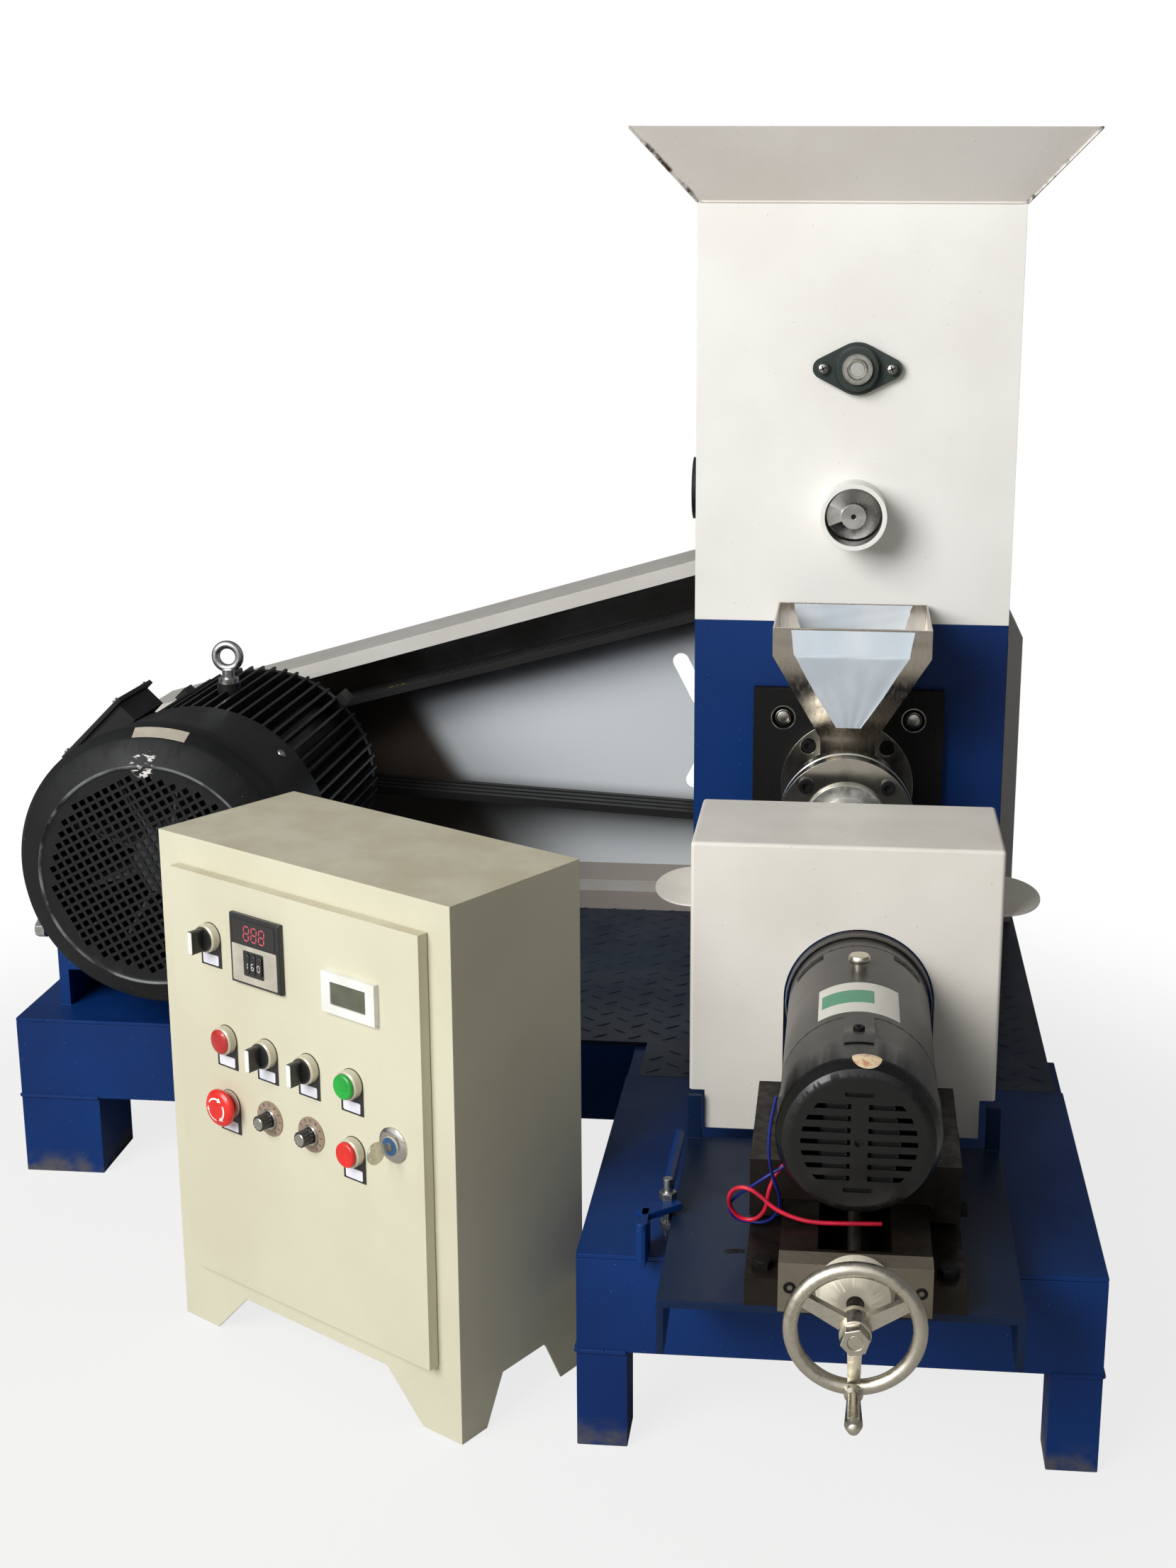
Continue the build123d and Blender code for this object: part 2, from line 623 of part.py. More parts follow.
def make_grille():
    """A round plate punched all over with square holes."""
    rows = int(2 * GRILLE_RADIUS / GRILLE_PITCH)
    whole = GRILLE_RADIUS - GRILLE_HOLE
    grid = [place for place in GridLocations(GRILLE_PITCH, GRILLE_PITCH, rows, rows)
            if place.position.length < whole - 2]
    plate = Circle(GRILLE_RADIUS) - [place * Rectangle(GRILLE_HOLE, GRILLE_HOLE) for place in grid]
    turned = Pos(MOTOR_X, MOTOR_Z) * Rot(0, 0, GRILLE_TURN) * plate
    return slab_xz(turned, GRILLE_FRONT, GRILLE_FRONT + 2.5)


cowl = turned_y(MOTOR_X, MOTOR_Z, [
    (GRILLE_RADIUS - 1, -208), (131, -211), (137, -207), (158, -193), (169, -172), (169, -150),
    (162, -146), (158, COWL_BACK), (155, COWL_BACK), (159, -148), (166, -152), (166, -170),
    (156, -190), (136, -203), (GRILLE_RADIUS - 1, -205)])
parts["fan_cowl"] = cowl + make_grille()


def make_fan():
    """A hub with straight radial blades on the front end of the motor's shaft."""
    fan = rod_y(MOTOR_X, MOTOR_Z, 42, -150, -60)
    fan += rod_y(MOTOR_X, MOTOR_Z, MOTOR_SHAFT, -60, 0)
    for i in range(9):
        fan += Pos(MOTOR_X, 0, MOTOR_Z) * Rot(0, 40 * i, 0) * block(30, 118, -150, -60, -2, 2)
    return fan


parts["motor_fan"] = make_fan()

box = block(-62, 32, 0, 100, BOX_BASE, BOX_SEAM) + block(-70, 40, -6, 106, BOX_SEAM, BOX_TOP)
parts["terminal_box"] = Pos(MOTOR_X, 0, MOTOR_Z) * Rot(0, -45, 0) * box


def make_eyebolt():
    """A lifting eye: a ring on a neck and a collar, screwed into the frame's boss."""
    z = EYE_BOSS_TOP
    ring = Pos(MOTOR_X, EYE_Y, z + 34) * Rot(90, 0, 0) * Torus(15.5, 5.3)
    return ring + rod_z(MOTOR_X, EYE_Y, 8, z, z + 17) + rod_z(MOTOR_X, EYE_Y, 13, z, z + 6)


parts["eyebolt"] = make_eyebolt()

# Motor base: a plate level with the deck, two uprights and a shelf, with an ear for a jack bolt
BASE_FRONT = -77
BASE_BACK_EDGE = 300
SHELF_LEFT = -973
SHELF_RIGHT = -621
UPRIGHT = 13
EAR_TOP = 315
motor_base = block(FRAME_LEFT, DECK_LEFT, FRAME_FRONT, FRAME_BACK, BEAM_TOP, DECK_TOP)
motor_base += block(SHELF_LEFT, SHELF_RIGHT, BASE_FRONT, BASE_BACK_EDGE, SHELF_TOP - 10, SHELF_TOP)
motor_base += block(SHELF_LEFT, SHELF_LEFT + UPRIGHT, BASE_FRONT, BASE_BACK_EDGE, DECK_TOP, SHELF_TOP)
motor_base += block(SHELF_RIGHT - UPRIGHT, SHELF_RIGHT, BASE_FRONT, BASE_BACK_EDGE, DECK_TOP, SHELF_TOP)
motor_base += block(SHELF_LEFT, SHELF_LEFT + UPRIGHT, BASE_FRONT, BASE_FRONT + 27, SHELF_TOP, EAR_TOP)
parts["motor_rails"] = motor_base

# Cutter guard: a sheet cover, open at the back and below, with a wing at each side to lift it by
CUTTER_HOLE = 76
TAB = 16


def hood(x0, x1, y0, y1, z0, z1, radius):
    """A box with its upright front folds and its top folds rounded."""
    box = block(x0, x1, y0, y1, z0, z1)
    folds = box.edges().filter_by(Axis.Z).sort_by(Axis.Y)[:2]
    folds += box.edges().group_by(Axis.Z)[-1].sort_by(Axis.Y)[:3]
    return fillet(folds, radius)


def make_cutter_cover():
    """A folded cover with a round hole for the motor and its lower corners notched."""
    s = COVER_SHEET
    cover = hood(COVER_LEFT, COVER_RIGHT, COVER_FRONT, COVER_BACK, COVER_BOTTOM, COVER_TOP, 4)
    cover -= hood(COVER_LEFT + s, COVER_RIGHT - s, COVER_FRONT + s, COVER_BACK + 1,
                  COVER_BOTTOM - 1, COVER_TOP - s, 4 - s)
    for x0, x1 in ((COVER_LEFT - 1, COVER_LEFT + TAB), (COVER_RIGHT - TAB, COVER_RIGHT + 1)):
        cover -= block(x0, x1, COVER_FRONT - 1, COVER_BACK + 1, COVER_BOTTOM - 1, COVER_NOTCH)
    front = (COVER_FRONT - 1, COVER_FRONT + s + 1)
    cover -= rod_y(CUTTER_X, CUTTER_Z, CUTTER_HOLE, *front)
    return cover - block(CUTTER_X - CUTTER_HOLE, CUTTER_X + CUTTER_HOLE, *front, COVER_BOTTOM - 1, CUTTER_Z)


WING_Z = 470
WING_OUT = 44
cover = make_cutter_cover()
for edge, side in ((COVER_LEFT, -1), (COVER_RIGHT, 1)):
    oval = Plane((edge, (COVER_FRONT + COVER_BACK) / 2 + 8, WING_Z)) * Ellipse(WING_OUT, 66)
    wing = extrude(oval, amount=2)
    outer = sorted((edge, edge + side * 100))
    cover += wing & block(*outer, COVER_FRONT, COVER_BACK, WING_Z - 1, WING_Z + 3)
parts["cutter_cover"] = cover

# Bench that carries the slide, overhanging the table's front edge
BENCH_LEFT = -156
BENCH_RIGHT = 165
BENCH_BACK = -427
BENCH_FRONT = -755
BENCH_THICK = 8
GUSSET_BOTTOM = 176


def make_bench():
    """A plate on two upright side plates, which dip in front of the table and rise at the back."""
    bench = block(BENCH_LEFT, BENCH_RIGHT, BENCH_FRONT, BENCH_BACK, BENCH_TOP - BENCH_THICK, BENCH_TOP)
    profile = make_face(Polyline(
        (BENCH_BACK, DECK_TOP), (BENCH_BACK, BENCH_TOP), (BENCH_FRONT, BENCH_TOP),
        (BENCH_FRONT, GUSSET_BOTTOM), (BENCH_FRONT + 24, GUSSET_BOTTOM),
        (TABLE_FRONT - 1, DECK_TOP - 6), (TABLE_FRONT - 1, DECK_TOP), close=True))
    for x in (BENCH_LEFT, BENCH_RIGHT - 7):
        bench += slab_yz(profile, x, x + 7)
    for x in (BENCH_LEFT, BENCH_RIGHT - TAB + 1):
        bench += block(x, x + TAB - 1, BENCH_BACK - 6, BENCH_BACK, BENCH_TOP, COVER_NOTCH - 2)
    return bench


parts["bench"] = make_bench()

# Slide: a cast base with a slotted bed, a front plate and a carriage on top
BASE_LEFT = -79
BASE_RIGHT = 113
BASE_TOP = 255
BED_HALF = 66
BED_TOP = 278
SLOT_HALF = 33
BASE_BACK = -455
SCREW_BORE = 7.4


def make_slide_base():
    """A broad foot and a narrower bed, slotted along the middle over the lead screw."""
    base = block(BASE_LEFT, BASE_RIGHT, SLIDE_FRONT, BASE_BACK, BENCH_TOP, BASE_TOP)
    base += block(CUTTER_X - BED_HALF, CUTTER_X + BED_HALF, SLIDE_FRONT, BASE_BACK, BASE_TOP, BED_TOP)
    slot = block(CUTTER_X - SLOT_HALF, CUTTER_X + SLOT_HALF, SLIDE_FRONT + 14, BASE_BACK - 14,
                 BENCH_TOP + 8, BED_TOP + 1)
    return base - slot - rod_y(CUTTER_X, WHEEL_Z, SCREW_BORE, SLIDE_FRONT - 1, BASE_BACK + 1)


parts["slide_base"] = make_slide_base()

front_plate = block(CUTTER_X - BED_HALF, CUTTER_X + BED_HALF, SLIDE_FRONT - 22, SLIDE_FRONT, 237, 283)
front_plate += turned_y(CUTTER_X, WHEEL_Z, [
    (0, SLIDE_FRONT - 22), (34, SLIDE_FRONT - 22), (30, SLIDE_FRONT - 34), (14, SLIDE_FRONT - 44),
    (0, SLIDE_FRONT - 44)])
front_plate -= rod_y(CUTTER_X, WHEEL_Z, SCREW_BORE, SLIDE_FRONT - 50, SLIDE_FRONT + 1)
parts["slide_front_plate"] = front_plate

CARRIAGE_LEFT = -80
CARRIAGE_RIGHT = 112
CARRIAGE_FRONT = -654
CARRIAGE_BACK = -480
NUT_HALF = 22


def make_carriage():
    """A block over the bed with a nut reaching down into the slot round the lead screw."""
    body = block(CARRIAGE_LEFT, CARRIAGE_RIGHT, CARRIAGE_FRONT, CARRIAGE_BACK, BED_TOP + 0.3, CARRIAGE_TOP)
    body += block(CUTTER_X - NUT_HALF, CUTTER_X + NUT_HALF, -600, -550, 243, BED_TOP + 0.3)
    for x0, x1 in ((CARRIAGE_LEFT, CUTTER_X - BED_HALF - 1), (CUTTER_X + BED_HALF + 1, CARRIAGE_RIGHT)):
        body += block(x0, x1, CARRIAGE_FRONT, CARRIAGE_BACK, BASE_TOP + 6, BED_TOP + 0.3)
    return body - rod_y(CUTTER_X, WHEEL_Z, SCREW_BORE, -601, -549)


parts["carriage"] = make_carriage()

# Handwheel and lead screw
LEAD_RADIUS = 7
parts["lead_screw"] = rod_y(CUTTER_X, WHEEL_Z, LEAD_RADIUS, WHEEL_Y - 14, BASE_BACK - 2)


def make_handwheel():
    """A round rim on three tapering spokes and a hub with a nut on its face."""
    wheel = Pos(CUTTER_X, WHEEL_Y, WHEEL_Z) * Rot(90, 0, 0) * Torus(WHEEL_RADIUS - 6.5, 6.5)
    wheel += turned_y(CUTTER_X, WHEEL_Z, [
        (LEAD_RADIUS, WHEEL_Y + 14), (13, WHEEL_Y + 14), (15, WHEEL_Y + 4), (13, WHEEL_Y - 10),
        (LEAD_RADIUS, WHEEL_Y - 10)])
    spoke = make_face(Polyline((10, -6.5), (54, -5), (54, 5), (10, 6.5), close=True))
    for angle in (-90, 30, 150):
        arm = slab_xz(Rot(0, 0, angle) * spoke, WHEEL_Y - 4, WHEEL_Y + 4)
        wheel += Pos(CUTTER_X, 0, WHEEL_Z) * arm
    return wheel


hub_nut = turned_y(CUTTER_X, WHEEL_Z, [
    (0, WHEEL_Y - 14), (LEAD_RADIUS, WHEEL_Y - 14), (LEAD_RADIUS, WHEEL_Y - 10), (11, WHEEL_Y - 10),
    (11, WHEEL_Y - 18), (6, WHEEL_Y - 22), (0, WHEEL_Y - 22)])
parts["handwheel"] = make_handwheel() + hub_nut
GRIP_Z = WHEEL_Z - WHEEL_RADIUS + 6.5
parts["handwheel_grip"] = turned_y(CUTTER_X, GRIP_Z, [
    (0, WHEEL_Y - 6.5), (7, WHEEL_Y - 6.5), (8, WHEEL_Y - 12), (5.5, WHEEL_Y - 16), (7.5, HANDLE_TIP + 10),
    (5, HANDLE_TIP + 3), (0, HANDLE_TIP)])

# Cutter motor on the carriage, its shaft through the cover's hole
CUTTER_BODY = 70.5
CAP_RADIUS = 72
CAP_BACK = -690
CAP_FRONT = -750
CUTTER_BACK = -412
GLAND_REACH = 75.8
GLAND_TURN = 138


def make_cutter_motor():
    """A smooth round body on a pressed foot, with a flange and shaft housing at the back."""
    body = turned_y(CUTTER_X, CUTTER_Z, [
        (0, CAP_BACK), (CUTTER_BODY, CAP_BACK), (CUTTER_BODY, CUTTER_BACK), (30, CUTTER_BACK + 8),
        (0, CUTTER_BACK + 8)])
    foot = block(CUTTER_X - 58, CUTTER_X + 58, -630, -500, CARRIAGE_TOP, CARRIAGE_TOP + 5)
    for x in (CUTTER_X - 52, CUTTER_X + 36):
        foot += block(x, x + 16, -620, -510, CARRIAGE_TOP + 4, CUTTER_Z - 46)
    body += foot
    body -= block(-100, 150, CARRIAGE_FRONT - 1, CARRIAGE_BACK + 1, CARRIAGE_TOP - 20, CARRIAGE_TOP)
    gland = block(0, GLAND_REACH, -688, -664, -4.5, 4.5)
    body += Pos(CUTTER_X, 0, CUTTER_Z) * Rot(0, GLAND_TURN, 0) * gland
    return body - rod_y(CUTTER_X, CUTTER_Z, 9, CUTTER_BACK - 20, CUTTER_BACK + 20)


parts["cutter_motor"] = make_cutter_motor()


def make_end_bell():
    """A domed fan cap with two columns of level slots and a hole in the middle."""
    bell = turned_y(CUTTER_X, CUTTER_Z, [
        (0, CAP_BACK), (CAP_RADIUS, CAP_BACK), (CAP_RADIUS, CAP_FRONT + 16), (CAP_RADIUS - 6, CAP_FRONT + 4),
        (CAP_RADIUS - 14, CAP_FRONT), (0, CAP_FRONT)])
    for row in range(-3, 4):
        for side in (-1, 1):
            slot = SlotOverall(26 - 2 * abs(row), 4.5)
            place = Pos(CUTTER_X + side * (23 - abs(row)), CUTTER_Z + row * 11)
            bell -= slab_xz(place * slot, CAP_FRONT - 1, CAP_FRONT + 4)
    for rise in (-44, 44):
        slot = Pos(CUTTER_X, CUTTER_Z + rise) * SlotOverall(26, 4.5)
        bell -= slab_xz(slot, CAP_FRONT - 1, CAP_FRONT + 4)
    return bell - rod_y(CUTTER_X, CUTTER_Z, 4, CAP_FRONT - 1, CAP_FRONT + 4)


parts["cutter_end_bell"] = make_end_bell()

KNIFE_RADIUS = 132
KNIFE_FACE = NOZZLE_FACE - 6


def make_knives():
    """Two flat knives on a hub at the end of the cutter motor's shaft."""
    hub = turned_y(CUTTER_X, CUTTER_Z, [
        (0, -392), (8.9, -392), (8.9, -280), (18, -280), (18, KNIFE_FACE), (0, KNIFE_FACE)])
    hub += rod_y(CUTTER_X, CUTTER_Z, 8.9, CUTTER_BACK - 14, -392)
    for angle in (0, 180):
        knife = block(-9, 9, KNIFE_FACE - 5, KNIFE_FACE, 0, KNIFE_RADIUS)
        hub += Pos(CUTTER_X, 0, CUTTER_Z) * Rot(0, angle, 0) * knife
    return hub


parts["cutter_knives"] = make_knives()

# Control cabinet, built square to its own front and then turned into place
CABINET = Location((CABINET_CORNER[0], CABINET_CORNER[1], 0), (0, 0, CABINET_TURN))


def make_cabinet():
    """A folded sheet box on four tapered feet, open behind its door."""
    body = block(0, CABINET_WIDTH, 0, CABINET_DEPTH, CABINET_LEG, CABINET_TOP)
    s = CABINET_SHEET
    body -= block(s, CABINET_WIDTH - s, s, CABINET_DEPTH - s, CABINET_LEG + s, CABINET_TOP - s)
    body -= block(DOOR_LEFT + 10, DOOR_RIGHT - 10, -1, s + 1, DOOR_BOTTOM + 10, DOOR_TOP - 10)
    foot = make_face(Polyline((0, 0), (52, 0), (100, CABINET_LEG), (0, CABINET_LEG), close=True))
    side = make_face(Polyline((0, 0), (36, 0), (60, CABINET_LEG), (0, CABINET_LEG), close=True))
    for x, flip_x in ((0, 1), (CABINET_WIDTH, -1)):
        for y, flip_y in ((0, 1), (CABINET_DEPTH, -1)):
            front = slab_xz(foot if flip_x > 0 else mirror(foot, Plane.YZ), 0, s)
            front = Pos(x, y if flip_y > 0 else y - s, 0) * front
            wing = slab_yz(side if flip_y > 0 else mirror(side, Plane.YZ), 0, s)
            wing = Pos(x if flip_x > 0 else x - s, y, 0) * wing
            body += front + wing
    return body


parts["cabinet_body"] = CABINET * make_cabinet()

BUTTON_HOLE = 11.6


def device_places():
    """Every round device on the door, as (u, z) on its face."""
    places = [(u, UPPER_ROW) for u in COLUMNS] + [(u, LOWER_ROW) for u in COLUMNS]
    return places + [FIRST_SELECTOR]


def make_door():
    """A shallow pan with a turned-back edge all round, drilled for its devices."""
    s = DOOR_SHEET
    door = block(DOOR_LEFT, DOOR_RIGHT, DOOR_FACE, DOOR_BACK, DOOR_BOTTOM, DOOR_TOP)
    door -= block(DOOR_LEFT + s, DOOR_RIGHT - s, DOOR_FACE + s, DOOR_BACK + 1,
                  DOOR_BOTTOM + s, DOOR_TOP - s)
    for u, z in device_places():
        door -= rod_y(u, z, BUTTON_HOLE, DOOR_FACE - 1, DOOR_FACE + s + 1)
    return door - rod_y(*LOCK_PLACE, 9, DOOR_FACE - 1, DOOR_FACE + s + 1)


parts["cabinet_door"] = CABINET * make_door()

CONTROLLER = (125, 197, 416, 488)
METER = (254, 325, 416, 457)
u0, u1, z0, z1 = CONTROLLER
controller = block(u0, u1, DOOR_FACE - 6, DOOR_FACE, z0, z1)
controller = chamfer(controller.faces().sort_by(Axis.Y)[0].edges(), 1.5)
parts["temperature_controller"] = CABINET * controller
u0, u1, z0, z1 = METER
meter = block(u0, u1, DOOR_FACE - 6, DOOR_FACE, z0, z1)
meter -= block(u0 + 12, u1 - 12, DOOR_FACE - 7, DOOR_FACE - 4, z0 + 9, z1 - 9)
parts["panel_meter"] = CABINET * meter

# Push buttons, switches and lamp: each has a round bezel that clamps it and its legend plate
LEGEND = 1
LEGEND_HALF = 15
LEGEND_DROP = 31
BEZEL_RADIUS = 14.5
BEZEL_FACE = DOOR_FACE - 10
STOP_BEZEL_FACE = DOOR_FACE - 3
BEZEL_BORE = 12.8
BEZEL_STEP = DOOR_FACE - 2
SLEEVE_RADIUS = 11.5
SLEEVE_BORE = 10.5
SLEEVE_BACK = DOOR_FACE + 10
STEM_RADIUS = 10.2
STEM_BACK = DOOR_FACE + 8
CAP_FACE_RADIUS = 12.5
BUTTON_FACE = DOOR_FACE - 14
SELECTORS = [FIRST_SELECTOR, (COLUMNS[1], UPPER_ROW), (COLUMNS[2], UPPER_ROW)]
DIALS = [(COLUMNS[1], LOWER_ROW), (COLUMNS[2], LOWER_ROW)]
LAMP = (COLUMNS[0], UPPER_ROW)
STOP = (COLUMNS[0], LOWER_ROW)
START_BUTTON = (COLUMNS[3], UPPER_ROW)
STOP_BUTTON = (COLUMNS[3], LOWER_ROW)


def bezel(u, z):
    """A cup-shaped ring against the legend plate, with a sleeve through the sheet."""
    return turned_y(u, z, [
        (SLEEVE_BORE, SLEEVE_BACK), (SLEEVE_RADIUS, SLEEVE_BACK), (SLEEVE_RADIUS, DOOR_FACE - LEGEND),
        (BEZEL_RADIUS, DOOR_FACE - LEGEND), (BEZEL_RADIUS, BEZEL_FACE + 1.5),
        (BEZEL_RADIUS - 1.5, BEZEL_FACE), (BEZEL_BORE, BEZEL_FACE), (BEZEL_BORE, BEZEL_STEP), (SLEEVE_BORE, BEZEL_STEP)])


def flat_bezel(u, z):
    """The emergency stop's thin ring and sleeve."""
    return turned_y(u, z, [
        (SLEEVE_BORE, SLEEVE_BACK), (SLEEVE_RADIUS, SLEEVE_BACK), (SLEEVE_RADIUS, DOOR_FACE - LEGEND),
        (BEZEL_RADIUS, DOOR_FACE - LEGEND), (BEZEL_RADIUS, STOP_BEZEL_FACE), (SLEEVE_BORE, STOP_BEZEL_FACE)])


rings = [bezel(u, z) for u, z in SELECTORS + [LAMP, START_BUTTON, STOP_BUTTON]]
rings.append(flat_bezel(*STOP))

lamp = turned_y(*LAMP, [
    (0, SLEEVE_BACK), (SLEEVE_BORE - 0.05, SLEEVE_BACK), (SLEEVE_BORE - 0.05, BEZEL_STEP),
    (BEZEL_BORE - 0.05, BEZEL_STEP), (BEZEL_BORE - 0.05, BEZEL_FACE - 1), (9, BEZEL_FACE - 3),
    (0, BEZEL_FACE - 4)])
parts["pilot_lamp"] = CABINET * lamp


def legend_plate(u, z):
    """A shield-shaped plate, round about the bezel's sleeve and square below."""
    shield = Circle(LEGEND_HALF) + Pos(0, -LEGEND_DROP / 2) * Rectangle(2 * LEGEND_HALF, LEGEND_DROP)
    shield -= Circle(BUTTON_HOLE)
    return slab_xz(Pos(u, z) * shield, DOOR_FACE - LEGEND, DOOR_FACE)


plates = [legend_plate(u, z) for u, z in SELECTORS + [LAMP, STOP, START_BUTTON, STOP_BUTTON]]

DIAL_RADIUS = 18
SPINDLE = 3
for u, z in DIALS:
    dial = rod_y(u, z, DIAL_RADIUS, DOOR_FACE - 1.2, DOOR_FACE)
    dial += rod_y(u, z, 10.5, DOOR_FACE - 4, DOOR_FACE - 1)
    plates.append(dial - rod_y(u, z, SPINDLE + 0.05, DOOR_FACE - 5, DOOR_FACE + 1))
parts["door_plates"] = CABINET * Compound(plates)

LOCK_ROSE = 17.5
KEY_PLUG = 4
lock = turned_y(*LOCK_PLACE, [
    (KEY_PLUG + 0.1, DOOR_FACE + 14), (8.9, DOOR_FACE + 14), (8.9, DOOR_FACE), (LOCK_ROSE, DOOR_FACE),
    (LOCK_ROSE, DOOR_FACE - 1.5), (LOCK_ROSE - 3, DOOR_FACE - 3.5), (10, DOOR_FACE - 4),
    (9, DOOR_FACE - 6), (KEY_PLUG + 0.1, DOOR_FACE - 6)])
parts["device_bezels"] = CABINET * Compound(rings + [lock])

GRIP_HALF = 12
GRIP_THICK = 7
GRIP_DEPTH = 14


def make_selector(u, z):
    """A round head in the bezel with a raised grip bar upright across its face."""
    knob = rod_y(u, z, STEM_RADIUS, BEZEL_STEP - 3, STEM_BACK)
    knob += rod_y(u, z, CAP_FACE_RADIUS, BEZEL_FACE - 2, BEZEL_STEP - 3)
    grip = block(-GRIP_THICK / 2, GRIP_THICK / 2, 0, GRIP_DEPTH, -GRIP_HALF, GRIP_HALF)
    grip = fillet(grip.edges().filter_by(Axis.Y), 2)
    return knob + Pos(u, BEZEL_FACE - 2 - GRIP_DEPTH, z) * grip


for name, place in zip(("power_selector", "feed_selector", "cutter_selector"), SELECTORS):
    parts[name] = CABINET * make_selector(*place)

FLUTES = 12


def make_dial_knob(u, z):
    """A fluted knob on a thin spindle."""
    outline = Circle(8) - PolarLocations(8.3, FLUTES) * Circle(1)
    knob = slab_xz(Pos(u, z) * outline, DOOR_FACE - 16, DOOR_FACE - 4.3)
    return knob + rod_y(u, z, SPINDLE, DOOR_FACE - 5, DOOR_FACE + 6)


parts["feed_speed_knob"] = CABINET * make_dial_knob(*DIALS[0])
parts["cutter_speed_knob"] = CABINET * make_dial_knob(*DIALS[1])


def make_button(u, z):
    """A push button's round cap, standing out of its bezel, and its stem."""
    return turned_y(u, z, [
        (0, STEM_BACK), (STEM_RADIUS, STEM_BACK), (STEM_RADIUS, BUTTON_FACE + 7),
        (CAP_FACE_RADIUS, BUTTON_FACE + 7), (CAP_FACE_RADIUS, BUTTON_FACE + 1.2),
        (CAP_FACE_RADIUS - 1.2, BUTTON_FACE), (0, BUTTON_FACE)])


parts["start_button"] = CABINET * make_button(*START_BUTTON)
parts["stop_button"] = CABINET * make_button(*STOP_BUTTON)

MUSHROOM_RADIUS = 19.5
MUSHROOM_BACK = DOOR_FACE - 12
MUSHROOM_FACE = DOOR_FACE - 20
mushroom = turned_y(*STOP, [
    (0, STEM_BACK), (STEM_RADIUS, STEM_BACK), (STEM_RADIUS, MUSHROOM_BACK), (MUSHROOM_RADIUS, MUSHROOM_BACK),
    (MUSHROOM_RADIUS, MUSHROOM_BACK - 3), (MUSHROOM_RADIUS - 3, MUSHROOM_FACE + 2), (8, MUSHROOM_FACE),
    (0, MUSHROOM_FACE)])
parts["emergency_stop"] = CABINET * mushroom

KEY_THICK = 2
BOW_Y = DOOR_FACE - 23
u, z = LOCK_PLACE
key = rod_y(u, z, KEY_PLUG, DOOR_FACE - 7, DOOR_FACE + 8)
key += block(u - KEY_THICK / 2, u + KEY_THICK / 2, DOOR_FACE - 16, DOOR_FACE - 6, z - 3.5, z + 3.5)
key += rod_x(BOW_Y, z, 11, u - KEY_THICK / 2, u + KEY_THICK / 2)
parts["key"] = CABINET * key

# Two loose leads out of the cutter motor's gland: the red one ends on the bed, the blue one
# is bent up beside the motor
RED_DIAMETER = 4
BLUE_DIAMETER = 3
RED_ROUTE = [
    (-39, -671, 332), (-48, -673, 323), (-57, -676, 312), (-62, -679, 298), (-63, -677, 283),
    (-68, -673, 271), (-77, -669, 263.5), (-88, -668, 265), (-95, -671, 274), (-98, -677, 286),
    (-96, -683, 298), (-89, -688, 306), (-78, -692, 307), (-67, -694, 300), (-56, -697, 291),
    (-39, -700, 284.5), (-20, -703, 282), (9, -703, 282.5), (40, -702, 283.5),
]
BLUE_ROUTE = [
    (-39, -681, 332), (-48, -683, 325), (-59, -685, 319), (-69, -684, 311), (-79, -681, 302),
    (-89, -677, 293), (-97, -671, 282), (-98, -664, 270), (-91, -660, 259), (-79, -659, 257),
    (-67, -662, 258), (-57, -668, 267), (-51, -676, 282), (-52, -684, 299), (-57, -691, 316),
    (-61, -696, 335), (-62, -698, 356), (-60, -696, 377), (-56, -693, 397),
]
ROUND_SHARE = 0.45


def make_lead(route, diameter, label):
    """A round wire along straight runs, joined by arcs as large as the runs allow."""
    points = [Vector(*point) for point in route]
    runs = [b - a for a, b in zip(points, points[1:])]
    radii = []
    for before, after in zip(runs, runs[1:]):
        half_turn = radians(before.get_angle(after)) / 2
        radii.append(ROUND_SHARE * min(before.length, after.length) / tan(half_turn))
    path = FilletPolyline(*points, radius=radii)
    section = Plane(origin=path @ 0, z_dir=path % 0) * Circle(diameter / 2)
    wire = sweep(section, path=path)
    area = pi * diameter ** 2 / 4
    print(label, "lead: length", round(path.length, 1), "mm, radii", [round(r, 1) for r in radii])
    print(label, "lead: volume against section times length", round(wire.volume / (area * path.length), 4))
    return wire


parts["red_lead"] = make_lead(RED_ROUTE, RED_DIAMETER, "Red")
parts["blue_lead"] = make_lead(BLUE_ROUTE, BLUE_DIAMETER, "Blue")

# Write every piece about the origin
os.makedirs("parts", exist_ok=True)
to_origin = Pos(-CENTRE_X, -CENTRE_Y, 0)
for name, solid in parts.items():
    export_step(to_origin * solid, f"parts/{name}.step")
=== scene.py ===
from math import cos, pi, radians, sin

import bmesh
import bpy
import numpy as np
from mathutils import Matrix, Vector


